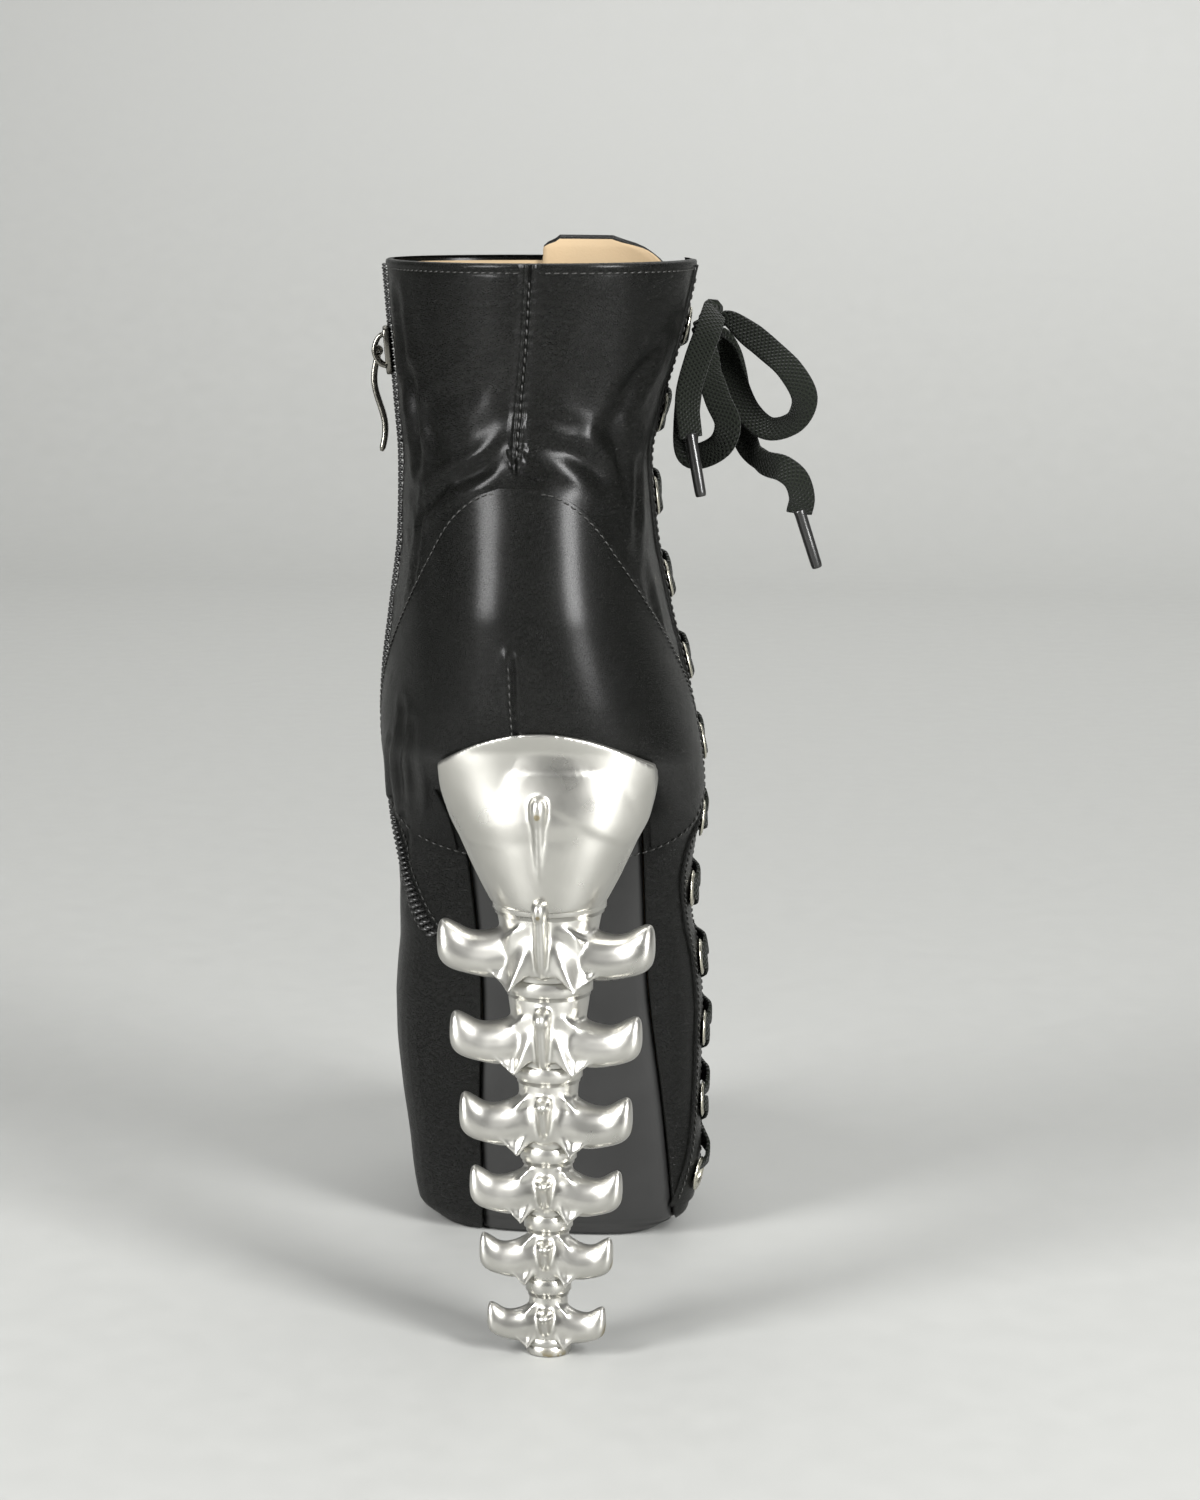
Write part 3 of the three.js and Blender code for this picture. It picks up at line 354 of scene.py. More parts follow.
def make_object(name, points, faces, materials, slot=None, marks=None):
    """Object from points in millimetres. marks gives each face's material number."""
    mesh = bpy.data.meshes.new(name)
    mesh.from_pydata((np.asarray(points, float) * MM).tolist(), [], [tuple(map(int, f)) for f in faces])
    for material in materials:
        mesh.materials.append(material)
    if marks is not None:
        mesh.polygons.foreach_set("material_index", list(map(int, marks)))
    piece = bpy.data.objects.new(name, mesh)
    shade_smooth(piece)
    bpy.context.scene.collection.objects.link(piece)
    return piece


def shade_smooth(piece):
    piece.data.polygons.foreach_set("use_smooth", [True] * len(piece.data.polygons))
    piece.data.update()


def put(name, shape, material, slot, node=None, body="boot", marks=None):
    """A piece in place: it stands for a node of the solids, if one is named, and rides on a body."""
    materials = material if isinstance(material, list) else [material]
    piece = make_object(name, *shape, materials, slot, marks)
    if node:
        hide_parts(node)
    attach(piece, body)
    return piece


def set_map(piece, chart):
    """Stores a map in millimetres for the weave, one pair for each point."""
    layer = piece.data.uv_layers.new(name="weave")
    corner = np.empty(len(piece.data.loops), int)
    piece.data.loops.foreach_get("vertex_index", corner)
    layer.data.foreach_set("uv", chart[corner].ravel())


def grid_faces(rows, columns, closed=False, left_out=None):
    """Faces of a grid of points, without those for which left_out(row, column) holds."""
    faces = []
    for r in range(rows - 1):
        for c in range(columns if closed else columns - 1):
            if left_out and left_out(r, c):
                continue
            d = (c + 1) % columns
            low = r * columns
            faces.append((low + c, low + d, low + columns + d, low + columns + c))
    return faces


def slab(outer, inner):
    """Closed body between two grids of points. Its faces are the front, the back and the rim."""
    rows, count = outer.shape[:2]
    total = rows * count
    front = grid_faces(rows, count)
    back = [tuple(i + total for i in reversed(face)) for face in front]
    ring = list(range(count)) + [r * count + count - 1 for r in range(1, rows)]
    ring += [(rows - 1) * count + c for c in range(count - 2, -1, -1)]
    ring += [r * count for r in range(rows - 2, 0, -1)]
    rim = [(b, a, a + total, b + total) for a, b in zip(ring, ring[1:] + ring[:1])]
    return np.vstack([outer.reshape(-1, 3), inner.reshape(-1, 3)]), front + back + rim


def circle(sides, power=1.0, other_power=1.0):
    """Cosines and sines round a circle, which is squared off where a power is under 1."""
    angle = np.arange(sides) * 2 * np.pi / sides
    c, s = np.cos(angle), np.sin(angle)
    return np.sign(c) * np.abs(c) ** power, np.sign(s) * np.abs(s) ** other_power


def swept(line, side, other, wide, thick, outline):
    """Rings of an outline along a line: wide along side and thick along the other direction."""
    side, other = (np.broadcast_to(v, line.shape)[:, None, :] for v in (side, other))
    wide, thick = (np.broadcast_to(v, len(line))[:, None, None] for v in (wide, thick))
    c, s = outline
    return line[:, None, :] + wide * c[:, None] * side + thick * s[:, None] * other


def lathe(profile, sides):
    """Rings turned round Z from a profile of radius and height."""
    c, s = circle(sides)
    return [np.stack([r * c, r * s, np.full(sides, float(z))], -1) for r, z in profile]


def with_rim(points, normals, faces, depth):
    """Turns every open edge of a skin inward by a depth, so that the skin shows a thickness."""
    directed = {}
    for face in faces:
        for i, a in enumerate(face):
            directed[(a, face[(i + 1) % len(face)])] = True
    edge = [pair for pair in directed if (pair[1], pair[0]) not in directed]
    inner = {}
    extra = []
    for a, b in edge:
        for i in (a, b):
            if i not in inner:
                inner[i] = len(points) + len(extra)
                extra.append(points[i] - normals[i] * depth)
    rim = [(b, a, inner[a], inner[b]) for a, b in edge]
    return np.vstack([points, np.array(extra)]), faces + rim


def loft(rings, ends=True):
    """Points and faces of a skin through closed rings with equal numbers of points."""
    count = len(rings[0])
    points = [np.asarray(p, float) for ring in rings for p in ring]
    faces = grid_faces(len(rings), count, closed=True)
    if ends:
        for index, flip in ((0, True), (len(rings) - 1, False)):
            base = index * count
            points.append(np.mean(rings[index], axis=0))
            centre = len(points) - 1
            for i in range(count):
                pair = [base + i, base + (i + 1) % count]
                if flip:
                    pair.reverse()
                faces.append((pair[0], pair[1], centre))
    return np.array(points), faces


def joined(shapes):
    """One set of points and faces from several."""
    points = []
    faces = []
    start = 0
    for shape_points, shape_faces in shapes:
        points.append(shape_points)
        faces.extend(tuple(i + start for i in face) for face in shape_faces)
        start += len(shape_points)
    return np.vstack(points), faces


def dense_line(points, step):
    """Smooth line through given points, resampled a step apart."""
    p = np.asarray(points, float)
    p = np.vstack([2 * p[0] - p[1], p, 2 * p[-1] - p[-2]])
    fine = []
    for i in range(1, len(p) - 2):
        t = np.linspace(0, 1, 24, endpoint=False)[:, None]
        a, b, c, d = p[i - 1], p[i], p[i + 1], p[i + 2]
        fine.append(0.5 * (2 * b + (c - a) * t + (2 * a - 5 * b + 4 * c - d) * t**2
                           + (3 * b - a - 3 * c + d) * t**3))
    fine = np.vstack(fine + [p[-2][None]])
    return resample(fine, step)


def resample(line, step):
    lengths = lengths_along(line)
    count = max(2, int(round(lengths[-1] / step)) + 1)
    at = np.linspace(0, lengths[-1], count)
    return np.stack([np.interp(at, lengths, line[:, k]) for k in range(line.shape[1])], -1)


# Materials

class Look:
    """A material with short ways to add and join its nodes."""

    def __init__(self, name):
        self.material = bpy.data.materials.new(name)
        self.material.use_nodes = True
        self.tree = self.material.node_tree

    def fill(self, socket, source):
        if isinstance(source, bpy.types.NodeSocket):
            self.tree.links.new(source, socket)
        else:
            socket.default_value = source

    def add(self, kind, sockets, **properties):
        node = self.tree.nodes.new("ShaderNode" + kind)
        for name, value in properties.items():
            setattr(node, name, value)
        for name, source in sockets.items():
            self.fill(node.inputs[name], source)
        return node.outputs

    def place(self, up=1):
        """Place on the object, with what is drawn there made flatter."""
        where = self.add("TexCoord", {})["Object"]
        return self.add("Mapping", {"Vector": where, "Scale": (1, 1, up)})["Vector"]

    def noise(self, place, scale, detail=3, distortion=0):
        sockets = {"Vector": place, "Scale": scale, "Detail": detail, "Distortion": distortion}
        return self.add("TexNoise", sockets)["Fac"]

    def spread(self, value, low_in, high_in, low_out, high_out):
        return self.add("MapRange", {0: value, 1: low_in, 2: high_in, 3: low_out, 4: high_out})["Result"]

    def math(self, operation, *terms):
        return self.add("Math", dict(enumerate(terms)), operation=operation)[0]

    def colour(self, value, low, high):
        ramp = self.tree.nodes.new("ShaderNodeValToRGB")
        for element, shade in zip(ramp.color_ramp.elements, (low, high)):
            element.color = (*shade, 1)
        self.fill(ramp.inputs["Fac"], value)
        return ramp.outputs["Color"]

    def bump(self, height, depth, strength, under=None):
        """Bumps a depth in millimetres high, over those of another bump."""
        sockets = {"Height": height, "Distance": depth * MM, "Strength": strength}
        if under is not None:
            sockets["Normal"] = under
        return self.add("Bump", sockets)["Normal"]

    def dress(self, **sockets):
        """Fills the shader's sockets and gives the material."""
        shader = self.tree.nodes["Principled BSDF"]
        for name, source in sockets.items():
            self.fill(shader.inputs[name.replace("_", " ")], source)
        return self.material


def leather(name, rough, grain, wrinkle, wrinkle_size):
    """Grained black leather: cells, fine wrinkles that run across, and a shine that varies."""
    look = Look(name)
    place = look.place()
    drawn = look.place(2.2)
    broad = look.noise(place, 60, 4)
    wander = look.spread(look.noise(drawn, 1000 / wrinkle_size, 4, 1.5), 0.3, 0.7, -1, 1)
    wrinkles = look.spread(look.math("ABSOLUTE", wander), 0, 0.45, 0, 1)
    cell_edge = look.add("TexVoronoi", {"Vector": drawn, "Scale": 1250}, feature="DISTANCE_TO_EDGE")
    normal = look.bump(look.noise(drawn, 170, 3, 0.6), 1.5 * wrinkle, 0.6)
    normal = look.bump(wrinkles, wrinkle, 0.9, normal)
    normal = look.bump(look.spread(cell_edge["Distance"], 0, 0.22, 0, 1), grain, 0.8, normal)
    normal = look.bump(look.noise(place, 2600, 2), 0.03, 0.6, normal)
    return look.dress(
        Base_Color=look.colour(broad, (0.002, 0.0022, 0.0017), (0.0045, 0.0047, 0.0039)),
        Roughness=look.spread(broad, 0.3, 0.7, rough - 0.05, rough + 0.06), Normal=normal,
        Specular_IOR_Level=0.1, Coat_Weight=0.2, Coat_Roughness=0.24)


def metal(name, low, high, rough, scratch):
    look = Look(name)
    place = look.place()
    fine = look.noise(place, 900, 4)
    return look.dress(
        Base_Color=look.colour(look.noise(place, 90, 4), low, high), Metallic=1,
        Roughness=look.spread(fine, 0.3, 0.7, rough - 0.05, rough + 0.07),
        Normal=look.bump(fine, scratch, 0.4))


def plated(name):
    """Pale satin plating. A wear value on the mesh shows the dull base where it has rubbed off."""
    look = Look(name)
    place = look.place()
    broad = look.noise(place, 70, 4)
    wear = look.add("Attribute", {}, attribute_name="wear")["Fac"]
    chip = look.math("MULTIPLY", wear, look.spread(look.noise(place, 420, 4), 0.42, 0.5, 0, 1))
    plate = look.colour(broad, (0.42, 0.415, 0.385), (0.52, 0.51, 0.475))
    base = (0.3, 0.26, 0.17, 1)
    mixed = look.add("Mix", {"Factor": chip, 6: plate, 7: base}, data_type="RGBA")
    return look.dress(
        Base_Color=mixed[2], Metallic=0.95, Roughness=look.spread(broad, 0.3, 0.7, 0.26, 0.36),
        Normal=look.bump(look.noise(place, 1200, 3), 0.02, 0.3))


def woven(name, low, high, pitch):
    """Braided cotton, with its strands drawn along and across the lace by its own map."""
    look = Look(name)
    parts = look.add("SeparateXYZ", {0: look.add("TexCoord", {})["UV"]})
    waves = []
    for sign in (1, -1):
        slant = look.math("MULTIPLY_ADD", parts[1], sign * 0.8, parts[0])
        waves.append(look.math("SINE", look.math("MULTIPLY", slant, 2 * math.pi / pitch)))
    braid = look.math("MAXIMUM", *waves)
    fibre = look.noise(look.place(), 2200, 4)
    return look.dress(
        Base_Color=look.colour(look.spread(braid, -0.6, 1, 0, 1), low, high), Roughness=0.9,
        Normal=look.bump(fibre, 0.15, 0.8, look.bump(braid, 0.3, 0.8)),
        Specular_IOR_Level=0.12, Sheen_Weight=0.06, Sheen_Roughness=0.5)


def plain(name, low, high, rough, grain_scale, grain_depth):
    look = Look(name)
    place = look.place()
    broad = look.noise(place, 80, 4)
    return look.dress(
        Base_Color=look.colour(broad, low, high),
        Roughness=look.spread(broad, 0.3, 0.7, rough - 0.04, rough + 0.06),
        Normal=look.bump(look.noise(place, grain_scale, 4), grain_depth, 0.5))


shaft_leather = leather("shaft_leather", 0.38, 0.25, 0.6, 2.1)
smooth_leather = leather("smooth_leather", 0.4, 0.25, 0.3, 1.5)
edge_leather = leather("edge_leather", 0.38, 0.12, 0.2, 1.7)
lining_leather = plain("lining_leather", (0.2, 0.145, 0.078), (0.26, 0.19, 0.11), 0.72, 1500, 0.15)
sole_finish = plain("sole_finish", (0.011, 0.011, 0.0108), (0.017, 0.017, 0.0165), 0.45, 1200, 0.03)
tread_finish = plain("tread_finish", (0.018, 0.018, 0.018), (0.03, 0.03, 0.03), 0.7, 700, 0.2)
thread_black = plain("thread_black", (0.008, 0.008, 0.007), (0.014, 0.014, 0.012), 0.5, 3000, 0.05)
plating = plated("plating")
nickel = metal("nickel", (0.42, 0.4, 0.33), (0.58, 0.56, 0.47), 0.28, 0.03)
gunmetal = metal("gunmetal", (0.14, 0.135, 0.12), (0.24, 0.23, 0.2), 0.24, 0.02)
coil_black = plain("coil_black", (0.008, 0.008, 0.008), (0.016, 0.016, 0.015), 0.4, 2500, 0.02)
aglet_black = plain("aglet_black", (0.008, 0.008, 0.008), (0.014, 0.014, 0.013), 0.25, 900, 0.02)
cotton = woven("cotton", (0.0012, 0.002, 0.001), (0.0045, 0.006, 0.0035), 1.3)
tape_weave = woven("tape_weave", (0.006, 0.006, 0.006), (0.018, 0.018, 0.017), 0.8)


# Camera, the place of the photograph's, turned to bring this boot to the middle

CAMERA_PLACE = (136.6, -862.3, 317)
CAMERA_HEADING = 98.1
CAMERA_PITCH = 10
PHOTO_HEIGHT = 1500
FOCAL_PIXELS = 3420
SENSOR = 36


def make_camera():
    data = bpy.data.cameras.new("camera")
    data.sensor_width = SENSOR
    data.lens = FOCAL_PIXELS / PHOTO_HEIGHT * SENSOR
    data.clip_start = 0.01
    camera = bpy.data.objects.new("camera", data)
    heading = math.radians(CAMERA_HEADING)
    pitch = math.radians(CAMERA_PITCH)
    level = math.cos(pitch)
    ahead = Vector((math.cos(heading) * level, math.sin(heading) * level, -math.sin(pitch)))
    camera.location = Vector(CAMERA_PLACE) * MM
    camera.rotation_euler = ahead.to_track_quat("-Z", "Y").to_euler()
    bpy.context.scene.collection.objects.link(camera)
    bpy.context.scene.camera = camera


make_camera()


# Bow: the lace's loops and ends, on the points of the solids

BOW = {
    "lace_loop_1": [
        (37.2, 49, 270), (41.2, 48, 272.2), (47, 45, 268.6), (53, 42, 264.2), (59, 39, 259),
        (62.8, 38, 252), (60, 40, 245.6), (53, 43.6, 243.4), (47, 47, 247.6), (43, 50, 255.5),
        (41.2, 51.2, 263.2), (37.4, 50, 266.6),
    ],
    "lace_loop_2": [
        (36, 48.4, 267), (37.2, 45, 262.2), (37.4, 42.8, 257.4), (39.6, 41, 251), (42.3, 40, 245),
        (40.4, 42, 239.2), (34.6, 45.4, 235.8), (30.4, 50, 236.6), (29.6, 54.5, 244),
        (30.6, 56, 254.4), (33.4, 54.8, 262.4), (35, 51, 267),
    ],
    "lace_end_1": [
        (35.8, 48, 270), (36.6, 43.6, 272.6), (38.8, 37.6, 274.4), (38, 31.4, 270),
        (35.2, 28.8, 261.6), (33, 28, 252), (33.7, 29, 242),
    ],
    "lace_end_2": [
        (37, 51, 268), (39.6, 55.2, 266.6), (42, 56, 258.6), (43.6, 53.6, 251.4), (46.4, 49, 239.6),
        (51.6, 43, 234.6), (57.2, 38, 233.4), (61, 36.4, 230.6), (62.4, 37.6, 225.8), (61.6, 39, 221.6),
    ],
}
FACING = {
    "lace_loop_1": (0, -1, 0.4),
    "lace_loop_2": (0.4, -1, 0),
    "lace_end_1": (0.5, -1, 0.2),
    "lace_end_2": (0.3, -1, 0.3),
}
AGLETS = {
    "aglet_1": ((33.6, 29, 243), (36.7, 28, 226.6)),
    "aglet_2": ((61.6, 39, 222.4), (66.5, 40, 206.9)),
}
KNOT_CENTRE = np.array([35.6, 49.5, 268.6])
AGLET_RADIUS = 1.6


def square_to(run, way):
    """Directions at right angles to run, as near to way as they can be."""
    return unit(way - run * np.sum(way * run, axis=1, keepdims=True))


def lace_ribbon(line, facings, widths, sides=14):
    """Rings of a flat lace with rounded edges, and its map: millimetres along and across."""
    run = unit(np.gradient(line, axis=0))
    flat = square_to(run, facings)
    outline = circle(sides, 0.6, 0.4)
    rings = swept(line, np.cross(run, flat), flat, widths / 2, LACE_THICKNESS / 2, outline)
    u = np.repeat(lengths_along(line)[:, None], sides, 1)
    v = widths[:, None] / 2 * outline[0][None, :]
    return rings, np.stack([u, v], -1)


def put_ribbon(name, strips, node):
    """Piece of one or more ribbons, with the map stored for its weave."""
    maps = []
    for _, chart in strips:
        maps += [chart.reshape(-1, 2), chart[0].mean(0)[None], chart[-1].mean(0)[None]]
    shape = joined([loft(rings) for rings, _ in strips])
    piece = put(name, shape, cotton, "lace_cotton", node)
    set_map(piece, np.vstack(maps))
    return piece


def bow_widths(count, loop):
    """A lace is gathered where it leaves the knot."""
    t = np.linspace(0, 1, count)
    near = np.minimum(t, 1 - t) if loop else t
    return LACE_WIDTH * (0.5 + 0.5 * soft_step(near, 0, 0.18))


def twisted(line, facing, turns):
    """Facing directions that turn round the line's own direction."""
    run = unit(np.gradient(line, axis=0))
    base = square_to(run, np.tile(np.array(facing, float), (len(line), 1)))
    angle = np.interp(np.linspace(0, 1, len(line)), *turns)[:, None]
    return base * np.cos(angle) + np.cross(run, base) * np.sin(angle)


BOW_TWIST = {
    "lace_loop_1": ([0, 0.3, 0.55, 1], [0.2, -0.15, 0.25, -0.2]),
    "lace_loop_2": ([0, 0.4, 0.7, 1], [0, 0.3, -0.2, 0.1]),
    "lace_end_1": ([0, 0.5, 1], [0, 0.15, -0.1]),
    "lace_end_2": ([0, 0.45, 0.62, 0.8, 1], [0, 0.2, 1.1, 0.2, 0]),
}


# Each ring of an aglet: share of its length and of its radius
AGLET_PROFILE = np.array([
    (0, 1.02), (0.03, 1.06), (0.08, 1), (0.5, 0.98), (0.93, 0.94), (0.985, 0.86), (1, 0.7),
])


def make_aglet(name):
    start, end = (np.array(p, float) for p in AGLETS[name])
    run = unit(end - start)
    side = unit(np.cross(run, (0.3, 1, 0.2)))
    along, share = AGLET_PROFILE.T
    line = start + (end - start) * along[:, None]
    radius = share * AGLET_RADIUS
    rings = swept(line, side, np.cross(run, side), radius, radius, circle(20))
    return put(name + "_tip", loft(rings), aglet_black, "aglet_black", name)


def make_bow():
    for name, points in BOW.items():
        line = dense_line(points, 0.7)
        loop = name.startswith("lace_loop")
        facings = twisted(line, FACING[name], BOW_TWIST[name])
        piece = put_ribbon(name + "_ribbon", [lace_ribbon(line, facings, bow_widths(len(line), loop))], name)
        tips = [] if loop else [make_aglet(name.replace("lace_end", "aglet"))]


make_bow()

# The knot's turns of lace: axis, half width, half height, start of the turn
WRAPS = [((1, 0.15, 0.5), 3.3, 3.1, 0), ((0.5, 0.2, -1), 3.0, 2.7, 1.2), ((-0.2, 1, 0.3), 2.6, 2.5, 0.4)]


def make_knot():
    """The knot: turns of lace wrapped round each other."""
    strips = []
    count = 60
    for axis, wide, tall, start in WRAPS:
        axis = unit(np.array(axis, float))
        side = unit(np.cross(axis, (0.1, 0.9, 0.3)))
        other = np.cross(axis, side)
        angle = np.linspace(start, start + 2 * np.pi * 0.97, count)[:, None]
        line = KNOT_CENTRE + wide * np.cos(angle) * side + tall * np.sin(angle) * other
        facing = np.cos(angle) * side + np.sin(angle) * other
        strips.append(lace_ribbon(line, facing, np.full(count, LACE_WIDTH * 0.72)))
    put_ribbon("lace_knot_wraps", strips, "lace_knot")


make_knot()


# Upper: listed creases

# start and end: height and way round from the back seam, to the outer side positive
Crease = namedtuple("Crease", "start end bend width depth")
CREASES = [
    Crease((277, -50), (254, -39), -2.5, 4.2, 1.3),
    Crease((258, -40), (236, -38), 1.5, 3.6, 1.9),
    Crease((248, -30), (238, -24), 1.0, 3.0, 0.7),
    Crease((243, -3), (232, -18), 1.2, 2.4, 0.9),
    Crease((237, -4), (226, -30), -1.8, 2.6, 1.1),
    Crease((232, -24), (222, -38), 1.0, 2.4, 0.8),
    Crease((243, 3), (231, 26), 2.2, 3.2, 1.1),
    Crease((250, 2), (246, 14), 0.8, 2.4, 0.5),
    Crease((264, 38), (245, 24), -2.0, 4.0, 1.2),
    Crease((247, 24), (229, 32), 1.2, 3.2, 1.2),
    Crease((236, 40), (216, 38), 1.0, 3.0, 0.8),
    Crease((276, 20), (258, 14), 1.0, 5.0, 0.5),
    Crease((262, -8), (252, -26), 1.5, 4.5, 0.5),
    Crease((206, 44), (186, 50), 1, 3.2, 0.8),
    Crease((168, -37), (132, -39), 1.2, 2.4, 0.9),
    Crease((172, -44), (128, -43), 1.8, 2.6, 1.2),
    Crease((162, -51), (120, -47), 1.8, 2.6, 1.1),
    Crease((146, -57), (112, -51), 1.5, 2.4, 0.9),
    Crease((136, -42), (104, -48), 1.2, 2.4, 0.9),
    Crease((246, 70), (238, 98), 2, 3.2, 0.9),
    Crease((232, 66), (222, 96), 2, 3.2, 1.0),
    Crease((214, 70), (206, 96), 2, 3.4, 0.7),
    Crease((246, -66), (236, -96), 2, 3.4, 1.0),
    Crease((228, -64), (220, -94), 2, 3.2, 1.0),
    Crease((206, -68), (200, -92), 2, 3.4, 0.7),
]
# Fine creases side by side, down to the inner side above the counter's edge
FINE_COUNT = 8
for number in range(FINE_COUNT):
    high = 229 - 4.6 * number
    near = -33 - 1.5 * number
    CREASES.append(Crease((high, near), (high - 19, near - 12), 0.8, 1.5, 0.42))


def crease_depth(z, way):
    """How far the leather moves in (negative) or out over its creases."""
    total = np.zeros(np.broadcast(z, way).shape)
    for crease in CREASES:
        (z0, s0), (z1, s1) = crease.start, crease.end
        length = math.hypot(z1 - z0, s1 - s0)
        run_z = (z1 - z0) / length
        run_s = (s1 - s0) / length
        t = ((z - z0) * run_z + (way - s0) * run_s) / length
        aside = (z - z0) * run_s - (way - s0) * run_z
        aside = aside - crease.bend * 4 * np.clip(t, 0, 1) * (1 - np.clip(t, 0, 1))
        past = np.maximum(0, np.maximum(-t, t - 1)) * length
        x = np.hypot(aside, past) / crease.width
        fade = np.sin(np.pi * np.clip(t, 0.08, 0.92)) ** 0.6
        valley = -np.exp(-(x * 1.5) ** 2)
        ridge = 0.55 * np.exp(-((x - 1.5) / 0.7) ** 2)
        total += crease.depth * fade * (valley + ridge)
    return total


def ripples(z, way, seed, size):
    """Soft unevenness of worn leather, from a few waves in fixed directions."""
    rng = np.random.default_rng(seed)
    total = np.zeros(np.broadcast(z, way).shape)
    for _ in range(7):
        angle = rng.uniform(0, np.pi)
        wave = rng.uniform(0.7, 1.6) * size
        phase = rng.uniform(0, 2 * np.pi)
        total += np.sin(2 * np.pi * (z * np.sin(angle) + way * np.cos(angle)) / wave + phase)
    return total / 7


def topline(z):
    """The turned edge at the collar: a thin bead with a sewn valley under it."""
    bead = 0.25 * soft_step(z, COLLAR_HEIGHT - 1.7, COLLAR_HEIGHT - 0.9)
    valley = 0.15 * np.exp(-((z - (COLLAR_HEIGHT - 2.2)) / 0.5) ** 2)
    edge = 0.35 * soft_step(z, COLLAR_HEIGHT - 0.7, COLLAR_HEIGHT)
    return bead - valley - edge


def upper_relief(z, way):
    calm = soft_step(z, 60, 150) * (1 - soft_step(z, 282, 287))
    folds = crease_depth(z, way) + 0.35 * ripples(z, way, 3, 30) + 0.12 * ripples(z, way, 12, 9)
    return calm * folds + topline(z)


def upper_rows():
    low = heights(0.6, THROAT_LOW, 1.7)
    arch = heights(THROAT_LOW, ZIP_LOW, 1.5)
    shaft = heights(ZIP_LOW, 284, 1.25)
    edge = np.array([284.6, 285.2, 285.8, 286.4, 287, 287.5, 288])
    return np.concatenate([low, arch[1:], shaft[1:], edge])


def back_zone(z, side):
    """Turn where the back of the upper begins: the panel's edge below, a plain line above."""
    edge = panel_turn(min(z, PANEL_TOP), side)
    return edge + (side * 42 - edge) * float(soft_step(z, PANEL_TOP - 2, PANEL_TOP + 40))


UPPER_COLUMNS = (44, 26, 44, 3, 48, 40)


def upper_turns(z):
    zip_here = zip_turn(max(z, ZIP_LOW))
    breaks = [
        back_zone(z, 1),
        turn_away(z, row_turn(z), FACING_HALF),
        turn_away(z, other_row_turn(z), -FACING_HALF),
        turn_away(z, zip_here, -ZIP_SLOT),
        turn_away(z, zip_here, ZIP_SLOT),
        360 + back_zone(z, -1),
        360 + back_zone(z, 1),
    ]
    return spread_between(z, breaks, UPPER_COLUMNS)


def make_upper():
    rows = upper_rows()
    points, normals = laid(rows, [upper_turns(z) for z in rows], upper_relief)
    ends = np.cumsum(UPPER_COLUMNS)

    def is_open(r, c):
        middle = (rows[r] + rows[r + 1]) / 2
        in_throat = ends[0] <= c < ends[1] and middle > THROAT_LOW
        in_zip = ends[2] <= c < ends[3] and middle > ZIP_LOW
        in_panel = c >= ends[4] and middle < PANEL_TOP
        return in_throat or in_zip or in_panel

    faces = grid_faces(len(rows), ends[-1], closed=True, left_out=is_open)
    skin = with_rim(points, normals, faces, UPPER_WALL - 0.4)
    put("upper_skin", skin, shaft_leather, "upper_leather", "upper")


def footbed_height(y):
    along = np.array([row.along for row in FOOTBED]) * PLAN_LENGTH
    level = np.array([height_at(row.level) for row in FOOTBED])
    return curve_through(along, level)(y)


LINING_COLUMNS = (44, 18, 90)


def make_lining():
    """Tan lining inside the shaft and along the foot, open at the throat."""
    foot = heights(PLATFORM_HEIGHT - 2, THROAT_LOW, 3)
    rows = np.concatenate([foot, heights(THROAT_LOW, 286.6, 2.4)[1:]])
    reach = FACING_HALF - 0.4
    turns = []
    for z in rows:
        breaks = [0, turn_away(z, row_turn(z), reach), turn_away(z, other_row_turn(z), -reach), 360]
        turns.append(spread_between(z, breaks, LINING_COLUMNS))
    points, _ = laid(rows, turns, lambda z, way: upper_relief(z, way) - UPPER_WALL + 0.2)
    hidden = points[:, 2] < footbed_height(points[:, 1]) - 1.5

    def in_throat(r, c):
        return 0 <= c - LINING_COLUMNS[0] < LINING_COLUMNS[1] and rows[r] >= THROAT_LOW - 0.1

    grid = grid_faces(len(rows), sum(LINING_COLUMNS), closed=True, left_out=in_throat)
    faces = [face[::-1] for face in grid if not hidden[list(face)].all()]
    put("lining_skin", (points, faces), lining_leather, "lining_leather")


# Overlays

def overlay(name, rows, breaks, counts, material, relief, left_out=None):
    """A raised piece on the upper. breaks(z) gives the turns that its runs of columns lie between."""
    turns = [np.append(spread_between(z, breaks(z), counts), breaks(z)[-1]) for z in rows]
    points, normals = laid(rows, turns, lambda z, way: OVERLAY_STEP + relief(z, way))
    faces = grid_faces(len(rows), sum(counts) + 1, left_out=left_out)
    put(name, with_rim(points, normals, faces, 0.9), material, "upper_leather")


def dart_way(z):
    return -2.2 - 0.03 * (188 - z)


